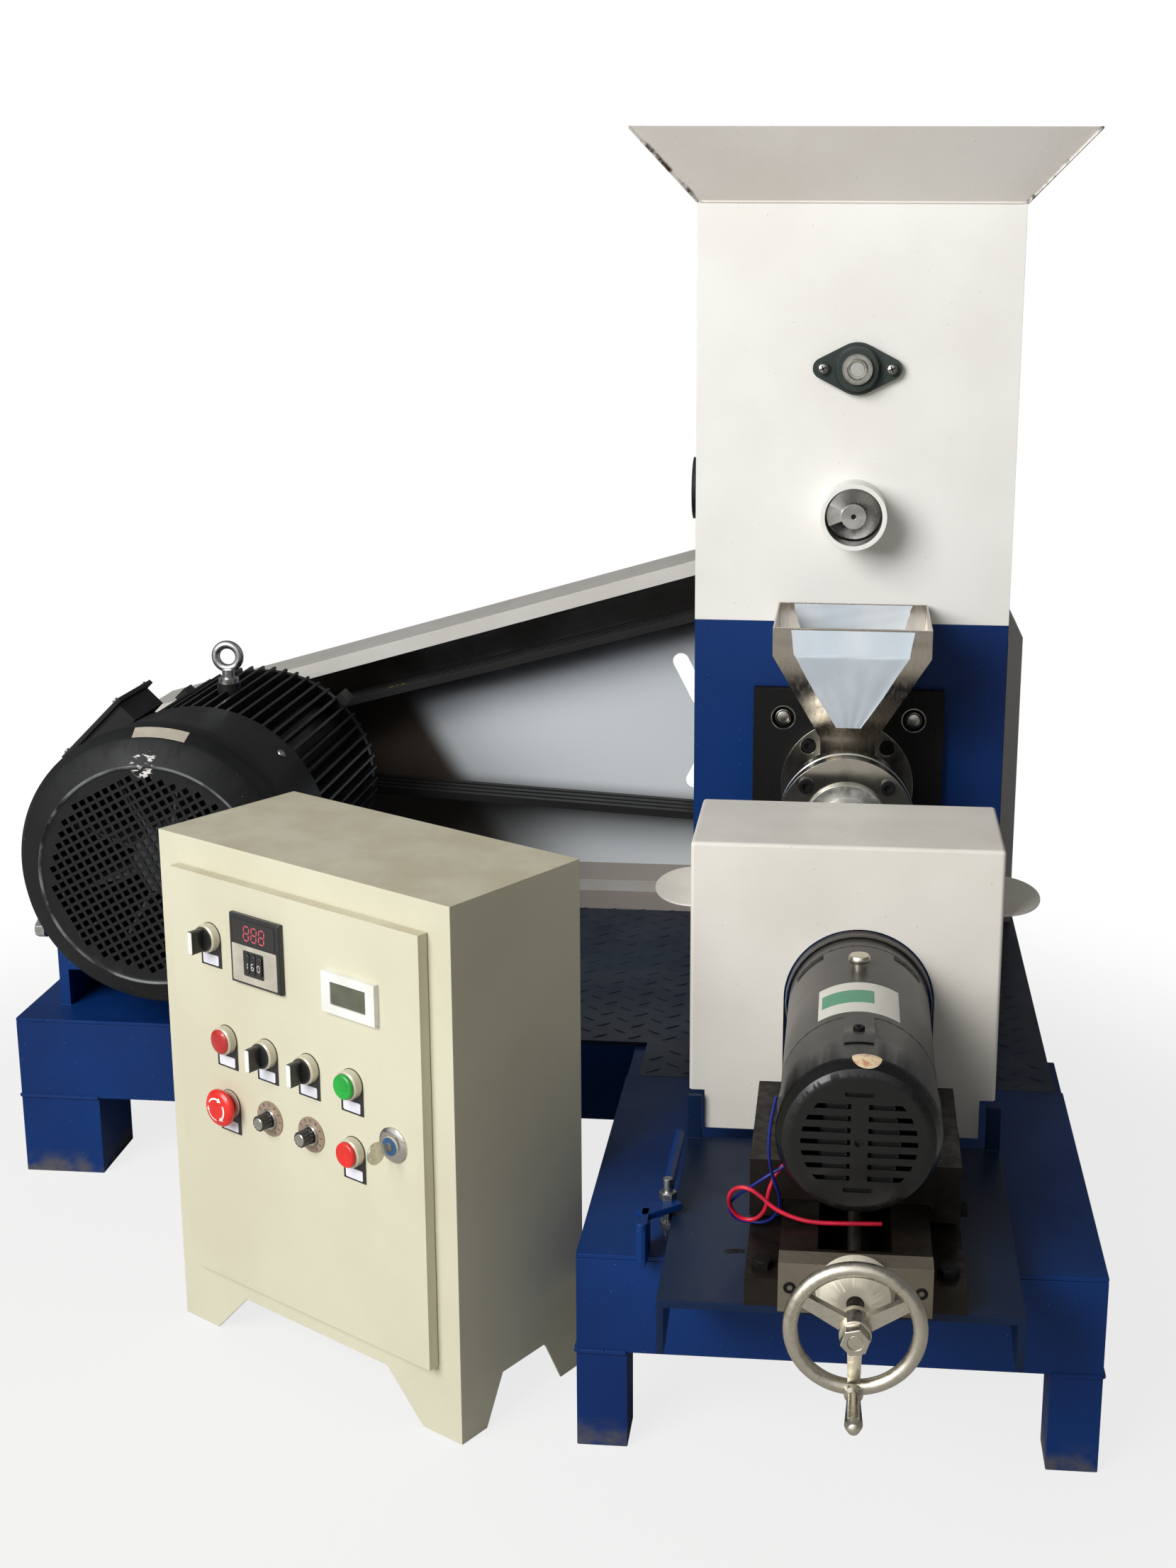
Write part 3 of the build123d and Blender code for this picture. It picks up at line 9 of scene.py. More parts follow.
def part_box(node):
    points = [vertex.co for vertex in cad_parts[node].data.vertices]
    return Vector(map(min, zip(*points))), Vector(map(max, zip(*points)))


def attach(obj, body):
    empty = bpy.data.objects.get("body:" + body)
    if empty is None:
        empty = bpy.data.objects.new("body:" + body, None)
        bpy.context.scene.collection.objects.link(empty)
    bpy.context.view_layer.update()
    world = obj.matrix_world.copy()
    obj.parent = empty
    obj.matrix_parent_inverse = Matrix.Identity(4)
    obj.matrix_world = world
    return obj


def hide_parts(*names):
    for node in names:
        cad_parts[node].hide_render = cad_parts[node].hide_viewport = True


# A screw extruder for pellets: a feed tower over a belt-driven barrel, a cutter on a hand-wound
# slide in front of the die, and a separate control cabinet. Metres, +Z up, +Y away from the
# operator, the floor at Z = 0.
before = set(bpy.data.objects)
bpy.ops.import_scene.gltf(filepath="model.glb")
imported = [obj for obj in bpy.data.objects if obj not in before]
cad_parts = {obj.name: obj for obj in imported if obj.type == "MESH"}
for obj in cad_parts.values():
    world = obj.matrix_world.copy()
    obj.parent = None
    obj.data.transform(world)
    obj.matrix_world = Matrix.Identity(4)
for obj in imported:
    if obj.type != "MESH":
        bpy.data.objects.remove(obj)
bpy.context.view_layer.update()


# Floor frame: channels with their webs outwards, welded to legs of square tube, with a lower
# table frame in front. Mild steel in glossy blue enamel, sprayed thickly, chipped at the
# edges and scuffed with pale specks near the floor.
def shade(code):
    """A colour as RRGGBB in linear light: v / 12.92 below 0.04045, else ((v + 0.055) / 1.055) ^ 2.4."""
    v = np.array([int(code[i:i + 2], 16) for i in (0, 2, 4)]) / 255
    linear = np.where(v <= 0.04045, v / 12.92, ((v + 0.055) / 1.055) ** 2.4)
    return (*linear.tolist(), 1.0)


def put(tree, kind, sockets=None, **settings):
    """A shader node with its settings, and with each socket given a value or joined to an output."""
    made = tree.nodes.new(kind)
    for key, value in settings.items():
        setattr(made, key, value)
    for key, value in (sockets or {}).items():
        if isinstance(value, bpy.types.NodeSocket):
            tree.links.new(value, made.inputs[key])
        else:
            made.inputs[key].default_value = value
    return made


def mixed(share, first, second):
    """A colour that goes from the first to the second as share goes from 0 to 1."""
    sockets = {0: share, 6: first, 7: second}
    return put(share.id_data, "ShaderNodeMix", sockets, data_type="RGBA").outputs[2]


def ranged(value, low, high, to_low=0.0, to_high=1.0):
    """A value carried from one range to another by a smooth step, and held at its ends."""
    sockets = {0: value, 1: low, 2: high, 3: to_low, 4: to_high}
    return put(value.id_data, "ShaderNodeMapRange", sockets, interpolation_type="SMOOTHSTEP").outputs[0]


def figured(operation, *values):
    """The outcome of one sum on one, two or three values."""
    tree = next(value.id_data for value in values if isinstance(value, bpy.types.NodeSocket))
    return put(tree, "ShaderNodeMath", dict(enumerate(values)), operation=operation).outputs[0]


def times(first, second):
    """The product of two values."""
    return figured("MULTIPLY", first, second)


def away_from(first, second):
    """The length of two sides set square: (first^2 + second^2)^(1/2)."""
    squares = [figured("POWER", side, 2.0) for side in (first, second)]
    return figured("SQRT", figured("ADD", *squares))


def split(vector):
    """The three numbers of a vector."""
    return put(vector.id_data, "ShaderNodeSeparateXYZ", {0: vector}).outputs


def noise(place, scale, detail=3.0, rough=0.5):
    """Cloudy noise about 0.5 at a place, with scale features to the metre."""
    sockets = {"Vector": place, "Scale": scale, "Detail": detail, "Roughness": rough}
    return put(place.id_data, "ShaderNodeTexNoise", sockets).outputs["Fac"]


def here(tree, size=(1, 1, 1), offset=(0, 0, 0)):
    """The point on the piece, scaled and then moved."""
    point = put(tree, "ShaderNodeTexCoord").outputs["Object"]
    sockets = {"Vector": point, "Location": offset, "Scale": size}
    return put(tree, "ShaderNodeMapping", sockets, vector_type="POINT").outputs[0]


def new_group(name, inputs, outputs):
    """An empty node group, what goes into it with its usual values, and what comes out of it."""
    group = bpy.data.node_groups.new(name, "ShaderNodeTree")
    for label, value in inputs.items():
        kind = "NodeSocketColor" if isinstance(value, tuple) else "NodeSocketFloat"
        socket = group.interface.new_socket(label, in_out="INPUT", socket_type=kind)
        socket.default_value = value
    for label in outputs:
        kind = "NodeSocketColor" if label == "Colour" else "NodeSocketFloat"
        group.interface.new_socket(label, in_out="OUTPUT", socket_type=kind)
    return group, put(group, "NodeGroupInput").outputs, put(group, "NodeGroupOutput").inputs


def uneven_coat_group():
    """Paint as sprayed: cloudy change of colour and gloss, and fine orange peel as height."""
    inputs = {"Colour": (0.8, 0.8, 0.8, 1), "Cloud Colour": (0.5, 0.5, 0.5, 1), "Cloud Scale": 6,
              "Peel Scale": 400, "Roughness": 0.4, "Roughness Swing": 0.1}
    group, given, out = new_group("Uneven coat", inputs, ["Colour", "Roughness", "Height"])
    cloud = ranged(noise(here(group), given["Cloud Scale"], 5), 0.35, 0.7)
    swing = times(cloud, given["Roughness Swing"])
    group.links.new(mixed(cloud, given["Colour"], given["Cloud Colour"]), out["Colour"])
    group.links.new(figured("ADD", given["Roughness"], swing), out["Roughness"])
    group.links.new(noise(here(group), given["Peel Scale"], 2), out["Height"])
    return group


def worn_edge_group():
    """A mask of broken patches along sharp edges, where the rounded normal leaves the true one."""
    inputs = {"Width": 0.002, "Amount": 0.5, "Patch Scale": 60}
    group, given, out = new_group("Worn edge", inputs, ["Mask"])
    rounded = put(group, "ShaderNodeBevel", {"Radius": given["Width"]}, samples=4)
    true = put(group, "ShaderNodeNewGeometry").outputs["Normal"]
    dot = put(group, "ShaderNodeVectorMath", {0: rounded.outputs[0], 1: true}, operation="DOT_PRODUCT")
    edge = ranged(dot.outputs["Value"], 0.98, 0.8)
    patches = noise(here(group), given["Patch Scale"], 4, 0.65)
    wanted = ranged(figured("ADD", patches, given["Amount"]), 0.95, 1.1)
    group.links.new(times(edge, wanted), out["Mask"])
    return group


def specks_group():
    """A mask of small round specks, of which a share is left out at random."""
    inputs = {"Speck Scale": 250, "Speck Size": 0.2, "Cover": 0.5}
    group, given, out = new_group("Specks", inputs, ["Mask"])
    cells = put(group, "ShaderNodeTexVoronoi", {"Vector": here(group), "Scale": given["Speck Scale"]})
    round_spot = ranged(cells.outputs["Distance"], given["Speck Size"], 0.0)
    chosen = put(group, "ShaderNodeSeparateColor", {0: cells.outputs["Color"]}).outputs[0]
    group.links.new(times(round_spot, figured("LESS_THAN", chosen, given["Cover"])), out["Mask"])
    return group


def settled_dust_group():
    """A mask of dust: where the face looks up, broken by cloudy noise."""
    group, given, out = new_group("Settled dust", {"Amount": 0.5, "Cloud Scale": 15}, ["Mask"])
    upward = ranged(split(put(group, "ShaderNodeTexCoord").outputs["Normal"])[2], 0.3, 0.95)
    clouds = ranged(noise(here(group), given["Cloud Scale"], 6, 0.6), 0.3, 0.75)
    group.links.new(times(times(upward, clouds), given["Amount"]), out["Mask"])
    return group


UNEVEN_COAT = uneven_coat_group()
WORN_EDGE = worn_edge_group()
SPECKS = specks_group()
SETTLED_DUST = settled_dust_group()


def placed_group(tree, group, **sockets):
    """A node group in a material, with its sockets named with underscores for spaces."""
    values = {label.replace("_", " "): value for label, value in sockets.items()}
    return put(tree, "ShaderNodeGroup", values, node_tree=group)


def new_finish(name, **sockets):
    """A material with one shader, whose plain values are set on its own sockets."""
    material = bpy.data.materials.new(name)
    material.use_nodes = True
    tree = material.node_tree
    shader = tree.nodes["Principled BSDF"]
    for label, value in sockets.items():
        shader.inputs[label.replace("_", " ")].default_value = value
    return material, tree, shader


def bumped(shader, height, depth):
    """A height in 0 to 1 that raises the surface by up to depth."""
    bump = put(height.id_data, "ShaderNodeBump", {"Height": height, "Distance": depth})
    height.id_data.links.new(bump.outputs[0], shader.inputs["Normal"])


def coated(tree, shader, colour, second, peel, **sockets):
    """An uneven coat's colour, gloss and height on a shader, the height up to peel."""
    coat = placed_group(tree, UNEVEN_COAT, Colour=shade(colour), Cloud_Colour=shade(second), **sockets)
    tree.links.new(coat.outputs["Colour"], shader.inputs["Base Color"])
    tree.links.new(coat.outputs["Roughness"], shader.inputs["Roughness"])
    bumped(shader, coat.outputs["Height"], peel)


def tinted(shader, share, first, second):
    """A shader's colour, from the first to the second by a share between 0 and 1."""
    share.id_data.links.new(mixed(share, shade(first), shade(second)), shader.inputs["Base Color"])


def washed(material, share, colour):
    """Another colour laid over a finish's own, by a share between 0 and 1."""
    tree = material.node_tree
    socket = tree.nodes["Principled BSDF"].inputs["Base Color"]
    tree.links.new(mixed(share, socket.links[0].from_socket, shade(colour)), socket)


def enamel(name, colour, cloud, roughness, chip, chip_amount=0.35, dust=None, dust_amount=0.0,
           speck=None, speck_cover=0.0, peel=0.00012, gloss=0.15):
    """Sprayed paint: uneven coat, then dust, then specks, then chips along its edges."""
    material, tree, shader = new_finish(name, Coat_Weight=gloss, Coat_Roughness=0.2, Specular_IOR_Level=0.2)
    coated(tree, shader, colour, cloud, peel, Roughness=roughness, Roughness_Swing=0.12)
    if dust:
        washed(material, placed_group(tree, SETTLED_DUST, Amount=dust_amount).outputs[0], dust)
    if speck:
        washed(material, placed_group(tree, SPECKS, Cover=speck_cover).outputs[0], speck)
    washed(material, placed_group(tree, WORN_EDGE, Amount=chip_amount).outputs[0], chip)
    return material


def smooth_group():
    """Geometry nodes that shade a merged mesh smooth but for the edges sharper than an angle."""
    group = bpy.data.node_groups.new("Smooth round faces", "GeometryNodeTree")
    group.interface.new_socket("Geometry", in_out="INPUT", socket_type="NodeSocketGeometry")
    group.interface.new_socket("Geometry", in_out="OUTPUT", socket_type="NodeSocketGeometry")
    given, out = put(group, "NodeGroupInput"), put(group, "NodeGroupOutput")
    angle = put(group, "GeometryNodeInputMeshEdgeAngle").outputs["Unsigned Angle"]
    gentle = put(group, "FunctionNodeCompare", {0: angle, 1: radians(32)}, operation="LESS_THAN")
    faces = put(group, "GeometryNodeSetShadeSmooth", {"Geometry": given.outputs[0]}, domain="FACE")
    edges = put(group, "GeometryNodeSetShadeSmooth",
                {"Geometry": faces.outputs[0], "Shade Smooth": gentle.outputs[0]}, domain="EDGE")
    group.links.new(edges.outputs[0], out.inputs[0])
    return group


SMOOTH = smooth_group()


def round_edges(piece, width):
    """A bevel of two steps along the edges sharper than 40 degrees, its width in millimetres."""
    rounding = piece.modifiers.new("Rounded edges", "BEVEL")
    rounding.width = width / 1000
    rounding.segments = 2
    rounding.limit_method = "ANGLE"
    rounding.angle_limit = radians(40)


def dress(node, material, edge=0.0):
    """A solid takes its finish, its sharp edges are rounded by edge, and its round faces shade smooth."""
    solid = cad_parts[node]
    solid.data.materials.clear()
    solid.data.materials.append(material)
    weld = solid.modifiers.new("Joined corners", "WELD")
    weld.merge_threshold = 0.000005
    if edge:
        flat = solid.modifiers.new("Whole faces", "DECIMATE")
        flat.decimate_type = "DISSOLVE"
        flat.angle_limit = radians(0.4)
        round_edges(solid, edge)
    smooth = solid.modifiers.new("Smooth round faces", "NODES")
    smooth.node_group = SMOOTH
    level = solid.modifiers.new("Flat faces stay flat", "WEIGHTED_NORMAL")
    level.keep_sharp = True
    level.weight = 90
    return solid


def shape_of(grid, close_u=False, close_v=False):
    """Points and faces of a surface through an m by n grid: face (i, j) takes points i, i+1 by j, j+1."""
    m, n = grid.shape[:2]
    i, j = np.meshgrid(np.arange(m if close_u else m - 1), np.arange(n if close_v else n - 1), indexing="ij")
    after_i, after_j = (i + 1) % m, (j + 1) % n
    corners = [i * n + j, after_i * n + j, after_i * n + after_j, i * n + after_j]
    return grid.reshape(-1, 3), np.stack(corners, axis=-1).reshape(-1, 4).tolist()


def placed(shape, place):
    """A shape carried by a 4 x 4 matrix: each point p becomes R p + t."""
    points, faces = shape
    matrix = np.array(place)
    return points @ matrix[:3, :3].T + matrix[:3, 3], faces


def joined(shapes):
    """Several shapes as one: points one after another, and faces counted on."""
    counts = np.cumsum([0] + [len(points) for points, _ in shapes])
    faces = [[index + start for index in face] for (_, part), start in zip(shapes, counts) for face in part]
    return np.concatenate([points for points, _ in shapes]), faces


def make_piece(name, shape, material, body, edge=0.0):
    """A mesh from points and faces, its doubles merged and faces turned out, that rides on a body."""
    mesh = bpy.data.meshes.new(name)
    mesh.from_pydata(shape[0].tolist(), [], shape[1])
    work = bmesh.new()
    work.from_mesh(mesh)
    bmesh.ops.remove_doubles(work, verts=work.verts, dist=0.000002)
    bmesh.ops.dissolve_degenerate(work, edges=work.edges, dist=0.000001)
    bmesh.ops.recalc_face_normals(work, faces=work.faces)
    work.to_mesh(mesh)
    work.free()
    mesh.polygons.foreach_set("use_smooth", np.ones(len(mesh.polygons), bool))
    mesh.set_sharp_from_angle(angle=radians(35))
    mesh.materials.append(material)
    made = bpy.data.objects.new(name, mesh)
    bpy.context.scene.collection.objects.link(made)
    if edge:
        round_edges(made, edge)
    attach(made, body)
    return made


def bead(start, end, radius):
    """A weld bead: start + s d + r (m cos a + n sin a), with r = R (0.8 + 0.2 |sin(pi s / ripple)|)
    and closed at its ends."""
    ripple = 0.004
    start = np.array(start)
    along = np.array(end) - start
    length = np.linalg.norm(along)
    d = along / length
    m = np.cross(d, (0.3, 0.5, 0.81))
    m = m / np.linalg.norm(m)
    n = np.cross(d, m)
    steps = max(int(length / ripple * 3), 8)
    around_it = np.linspace(0, 2 * pi, 8, endpoint=False)
    s, a = np.meshgrid(np.linspace(0, length, steps), around_it, indexing="ij")
    r = radius * (0.8 + 0.2 * np.abs(np.sin(pi * s / ripple)))
    r = r * np.sqrt(np.clip(1 - np.abs(2 * s / length - 1) ** 60, 0, 1))
    round_it = np.cos(a)[..., None] * m + np.sin(a)[..., None] * n
    return shape_of(start + s[..., None] * d + r[..., None] * round_it, close_v=True)


tower_low, tower_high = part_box("feed_tower")
AXIS_X = (tower_low[0] + tower_high[0]) / 2


def spot(x, y, z):
    """A point in millimetres from the floor under the middle of the tower's front."""
    return Vector((AXIS_X + x / 1000, tower_low[1] + y / 1000, z / 1000))


BLUE = enamel("blue enamel", "07326F", "052860", 0.4, "1E1B19", 0.38, "24406B", 0.16,
              "6D7886", 0.03, gloss=0.05)
for node in ("main_frame", "table_frame", "frame_legs", "table_plate", "pedestal", "motor_rails"):
    dress(node, BLUE, 1.2)
tree = BLUE.node_tree
near_floor = ranged(split(here(tree))[2], 0.035, 0.0)
washed(BLUE, times(near_floor, ranged(noise(here(tree), 30, 5, 0.6), 0.35, 0.7)), "5E5A52")
FRAME_WELDS = [
    ((-1011, -125, 101), (-912, -125, 101), 2.8), ((144, -125, 101), (243, -125, 101), 2.8),
    ((-244, -634, 101), (-195, -634, 101), 2.8), ((203, -634, 101), (252, -634, 101), 2.8),
    ((-1011, -125, 101), (-1011, -76, 101), 2.8), ((243, -125, 101), (243, -76, 101), 2.8),
    ((-244, -634, 101), (-244, -585, 101), 2.8), ((252, -634, 101), (252, -585, 101), 2.8),
    ((-244, -125, 101), (-244, -125, 198), 3), ((-186, 0, 203), (186, 0, 203), 3),
    ((186.5, 0, 203), (186.5, 300, 203), 3), ((-186.5, 0, 203), (-186.5, 300, 203), 3),
    ((-973, -77, 203), (-973, 300, 203), 2.8), ((-621, -77, 203), (-621, 300, 203), 2.8),
    ((-960, -77, 260), (-960, -50, 260), 2.5),
]


def beads(welds):
    """Weld beads along straight lines given in millimetres, with their radii."""
    return joined([bead(spot(*start), spot(*end), radius / 1000) for start, end, radius in welds])


make_piece("frame_welds", beads(FRAME_WELDS), BLUE, "machine")


# Deck: chequer plate in very dark blue, greyed by dust. Its raised lugs lie in rows, each row
# turned across the last, and are rolled into the plate.
NAVY = enamel("chequer navy", "162238", "1D2A3E", 0.42, "20242A", 0.2, "39434F", 0.75, "5A6068", 0.05)
dress("deck_plate", NAVY, 0.6)
LUG_LENGTH = 0.024
LUG_WIDTH = 0.0062
LUG_HEIGHT = 0.0011
LUG_PITCH = (0.042, 0.036)


def turned(angle, axis="Z"):
    """A turn in degrees about an axis."""
    return Matrix.Rotation(radians(angle), 4, axis)


def lug():
    """One lug: z = h (1 - v^2) over an almond whose half width is w (1 - u^2), u and v from -1 to 1."""
    u, v = np.meshgrid(np.linspace(-1, 1, 7), np.linspace(-1, 1, 5), indexing="ij")
    x = u * LUG_LENGTH / 2
    y = v * LUG_WIDTH / 2 * (1 - u ** 2)
    z = LUG_HEIGHT * (1 - v ** 2) * (1 - u ** 4)
    return shape_of(np.stack([x, y, z], axis=-1))


def chequer(low, high, top, keep_out):
    """Lugs over a rectangle: two sets at plus and minus 40 degrees, half a pitch apart."""
    one, found = lug(), []
    for turn, offset in ((40, 0.0), (-40, 0.5)):
        columns = np.arange(low[0] + 0.015 + offset * LUG_PITCH[0], high[0] - 0.012, LUG_PITCH[0])
        rows = np.arange(low[1] + 0.015 + offset * LUG_PITCH[1], high[1] - 0.012, LUG_PITCH[1])
        for x in columns:
            for y in rows:
                inside = [a[0] < x < b[0] and a[1] < y < b[1] for a, b in keep_out]
                if not any(inside):
                    found.append(placed(one, Matrix.Translation((x, y, top)) @ turned(turn)))
    return found


deck_low, deck_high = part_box("deck_plate")
frame_low, frame_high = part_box("main_frame")
table_low, table_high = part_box("table_plate")
seam_left = table_low[0] + 0.014
under_rail = (spot(-650, -85, 0), spot(-612, 308, 0))
hidden = [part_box("pedestal"), under_rail]
lugs = chequer((deck_low[0], frame_low[1]), (frame_high[0], frame_high[1]), deck_high[2], hidden)
lugs += chequer((seam_left, table_high[1]), (frame_high[0], frame_low[1]), deck_high[2], hidden)
make_piece("chequer_lugs", joined(lugs), NAVY, "machine")


# Bearing plate: a thick square of blackened steel on the pedestal's front, with the heads of
# four bolts bright at the bottom of their counterbores and a pale ring where each was cut.
EVEN = (1, 1, 1)


def plain_metal(name, colour, roughness, grain, grain_scale, metallic, stain, stain_cover):
    """Bare metal: fine noise stretched along the grain changes its gloss, and clouds stain it."""
    material, tree, shader = new_finish(name, Metallic=metallic, Specular_IOR_Level=0.2)
    drawn = noise(here(tree, grain), grain_scale, 4, 0.6)
    gloss = ranged(drawn, 0.3, 0.7, roughness * 0.75, roughness * 1.35)
    tree.links.new(gloss, shader.inputs["Roughness"])
    share = ranged(noise(here(tree), 22, 5, 0.6), 1 - stain_cover, 1.05 - stain_cover / 2)
    tinted(shader, share, colour, stain)
    bumped(shader, drawn, 0.00003)
    return material


BLACKENED = plain_metal("blackened steel", "0F0E0E", 0.55, EVEN, 300, 0.1, "181512", 0.5)
BRIGHT_BOLT = plain_metal("bright bolt steel", "A9A79F", 0.28, EVEN, 160, 1.0, "6A6459", 0.45)
dress("bearing_plate", BLACKENED, 1)
plate_low, plate_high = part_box("bearing_plate")
BARREL_Z = (plate_low[2] + plate_high[2]) / 2


def facing(x, y, z, turn=0.0):
    """A place whose own +Z looks at the operator, along -Y, turned about it in degrees."""
    return Matrix.Translation((x, y, z)) @ turned(90, "X") @ turned(turn)


def revolved(profile, sides=48):
    """A turned shape about its own Z: (r cos a, r sin a, h) for each (r, h) of the profile, in mm."""
    r, h = np.array(profile, float).T / 1000
    a = np.linspace(0, 2 * pi, sides, endpoint=False)[:, None]
    grid = np.stack([r * np.cos(a), r * np.sin(a), h + 0 * a], axis=-1)
    return shape_of(grid, close_u=True)


def prism(outline, low, high):
    """A flat outline in X and Y, in mm, carried from z = low to z = high, closed by its two ends."""
    flat = np.array(outline, float)
    count = len(flat)
    layers = [np.column_stack([flat, np.full(count, z)]) for z in (low, high)]
    sides = [[i, (i + 1) % count, (i + 1) % count + count, i + count] for i in range(count)]
    ends = [list(range(count))[::-1], list(range(count, 2 * count))]
    return np.concatenate(layers) / 1000, sides + ends


def hexagon_head(across, height):
    """A hexagon bolt head: a prism with a shallow cone on top, its corners a / (2 cos 30) out."""
    a = np.radians(np.arange(0, 360, 60))
    corners = np.column_stack([np.cos(a), np.sin(a)]) * across / 2 / cos(radians(30))
    top = [(0, height), (across * 0.42, height), (across * 0.5, height * 0.86), (across * 0.5, height * 0.8)]
    return joined([prism(corners, 0, height * 0.9), revolved(top, 24)])


plate_bolts = []
for side in (-1, 1):
    for rise in (-1, 1):
        hole = facing(AXIS_X + side * 0.078, plate_low[1], BARREL_Z + rise * 0.078)
        ring = [(13.5, 0.2), (14.8, 0.2), (14.8, 0), (13.5, 0)]
        head = [(0, -0.5), (6, -0.5), (9.2, -1.8), (9.5, -4), (9.5, -10)]
        plate_bolts += [placed(revolved(ring, 40), hole), placed(revolved(head), hole)]
make_piece("plate_bolts", joined(plate_bolts), BRIGHT_BOLT, "machine")


# Barrel, die nozzle and screw: turned from bar, bare and bright, with black socket screws in
# the rear flange and sunk bolts in the front one. The nozzle is paler, cleaned by the product.
TURNED = plain_metal("turned steel", "B4B0A6", 0.2, (6, 220, 6), 4, 1.0, "77705F", 0.42)
NOZZLE = plain_metal("die steel", "C3C2BD", 0.35, EVEN, 90, 0.9, "8E8A80", 0.5)
dress("barrel", TURNED, 0.8)
dress("die_nozzle", NOZZLE, 0.8)
dress("screw_shaft", TURNED, 0.4)


def hexagonal(across, a):
    """The radius at angle a of a hexagon, across its flats: (w / 2) / cos(a mod 60 - 30)."""
    return across / 2 / np.cos(np.mod(a, pi / 3) - pi / 6)


def ringed(outer, inner, height, depth, sides=36):
    """A head with a sunk middle: outer and inner are radii, or hexagons across flats when below 0."""
    a = np.linspace(0, 2 * pi, sides, endpoint=False)
    radii = [np.full(sides, edge) if edge > 0 else hexagonal(-edge, a) for edge in (outer, inner)]
    soft = 0.6
    rows = [(radii[0], 0), (radii[0], height - soft), (radii[0] - soft, height), (radii[1], height),
            (radii[1], height - depth), (radii[1] * 0, height - depth)]
    rings = [np.stack([r * np.cos(a), r * np.sin(a), np.full(sides, h)], axis=-1) for r, h in rows]
    return shape_of(np.stack(rings, axis=1) / 1000, close_u=True)


CORNERS = (45, 135, 225, 315)
flange_screws = []
for ring, face, height in ((66.5, -21, 8.3), (64, -200, 9.3)):
    for angle in CORNERS:
        x, z = ring * cos(radians(angle)), 503 + ring * sin(radians(angle))
        head = ringed(8.2, -8, height, 5)
        flange_screws.append(placed(head, facing(*spot(x, face, z))))
make_piece("flange_screws", joined(flange_screws), BLACKENED, "machine")


# Main pulley and the motor's: cast iron, turned in the grooves and dark with belt dust. Each
# is keyed to its own shaft.
PULLEY = plain_metal("pulley iron", "2B2A29", 0.45, EVEN, 120, 0.7, "1A1918", 0.5)
dress("main_pulley", PULLEY, 0.8)
dress("motor_pulley", PULLEY, 0.8)


# Inlet funnel: folded from brushed stainless sheet, with the maker's protective film still on
# the middle of each flat: pale blue-white, its edges lifting a little from the metal.
STAINLESS = plain_metal("brushed stainless", "B9B2A8", 0.22, (30, 30, 1), 8, 1.0, "8F877B", 0.4)
dress("inlet_funnel", STAINLESS, 0.4)
FILM, tree, shader = new_finish("protective film", Roughness=0.28, Coat_Weight=0.4, Coat_Roughness=0.1)
creases = noise(here(tree, (1, 1, 0.4)), 24, 3, 0.5)
tinted(shader, ranged(creases, 0.3, 0.7), "CFDAE4", "DFE6EC")
bumped(shader, creases, 0.0004)


def film(rows):
    """A film patch through rows of (z, y, middle x, half width): it stands off the sheet by
    0.5 (1 + 0.5 sin(9u + 5v) sin(7v - 4u)) mm, and by 0.6 mm more at its outer edges."""
    v, u = np.meshgrid(np.linspace(0, 1, 40), np.linspace(-1, 1, 40), indexing="ij")
    levels = np.linspace(0, 1, len(rows))
    z, y, middle, half = [np.interp(v, levels, [row[i] for row in rows]) for i in range(4)]
    wave = np.sin(9 * u + 5 * v) * np.sin(7 * v - 4 * u)
    edge = np.clip(np.abs(u) * 8 - 7, 0, 1) ** 2
    out = 0.5 * (1 + 0.5 * wave) + 0.6 * edge
    x = middle + u * half * (1 + 0.006 * np.sin(14 * v + 2 * u))
    grid = np.stack([x, y - out, z], axis=-1)
    points, faces = shape_of(grid)
    return np.array([spot(*p) for p in points]), faces


FRONT_FILM = [(718, -175, 2, 68), (690, -175, 2, 64), (688, -175, 2, 63), (640, -152.1, 1, 38),
              (598, -132.1, 0, 14)]
BACK_FILM = [(719, -8, 2, 70), (690, -8, 2, 62)]
make_piece("funnel_film", joined([film(FRONT_FILM), film(BACK_FILM)]), FILM, "machine")


# Feed tower, hopper and feed tube: folded sheet, welded, in warm white powder coat with a few
# grey marks where parts were slid over it.
WHITE = enamel("tower white", "F5F4EF", "EEECE6", 0.42, "B9B2A6", 0.15, "D9D2C6", 0.15, "8A8378", 0.012)
for node in ("feed_tower", "feed_tube"):
    dress(node, WHITE, 0.8)
HOPPER = enamel("hopper white", "EFEAE4", "E6E0D8", 0.42, "8C7A68", 0.3, "CFC6BA", 0.25, "7A6A58", 0.03)
dress("hopper", HOPPER, 0.8)
tree = HOPPER.node_tree
point = split(here(tree))
HOPPER_SLOPE = 0.9226
flare = times(figured("SUBTRACT", point[2], tower_high[2]), HOPPER_SLOPE)
reaches = []
for axis, middle, half in ((0, AXIS_X, 0.1865), (1, tower_low[1] + 0.15, 0.15)):
    away = figured("ABSOLUTE", figured("SUBTRACT", point[axis], middle))
    reaches.append(figured("SUBTRACT", figured("ADD", flare, half), away))
corner = ranged(figured("MAXIMUM", *reaches), 0.007, 0.0015)
rust = ranged(noise(here(tree), 38, 6, 0.7), 0.45, 0.62)
washed(HOPPER, times(corner, rust), "4A3526")
SEAM = 1179.5
HOPPER_WELDS = [((-186.5, y, SEAM), (186.5, y, SEAM), 1.8) for y in (0, 300)]
for x in (-186.5, 186.5):
    HOPPER_WELDS += [((x, 0, SEAM), (x, 300, SEAM), 1.8), ((x, 0, SEAM), (x * 1.3834, -71.5, 1257), 1.8),
                     ((x, 300, SEAM), (x * 1.3834, 371.5, 1257), 1.8)]
make_piece("hopper_welds", beads(HOPPER_WELDS), HOPPER, "machine")


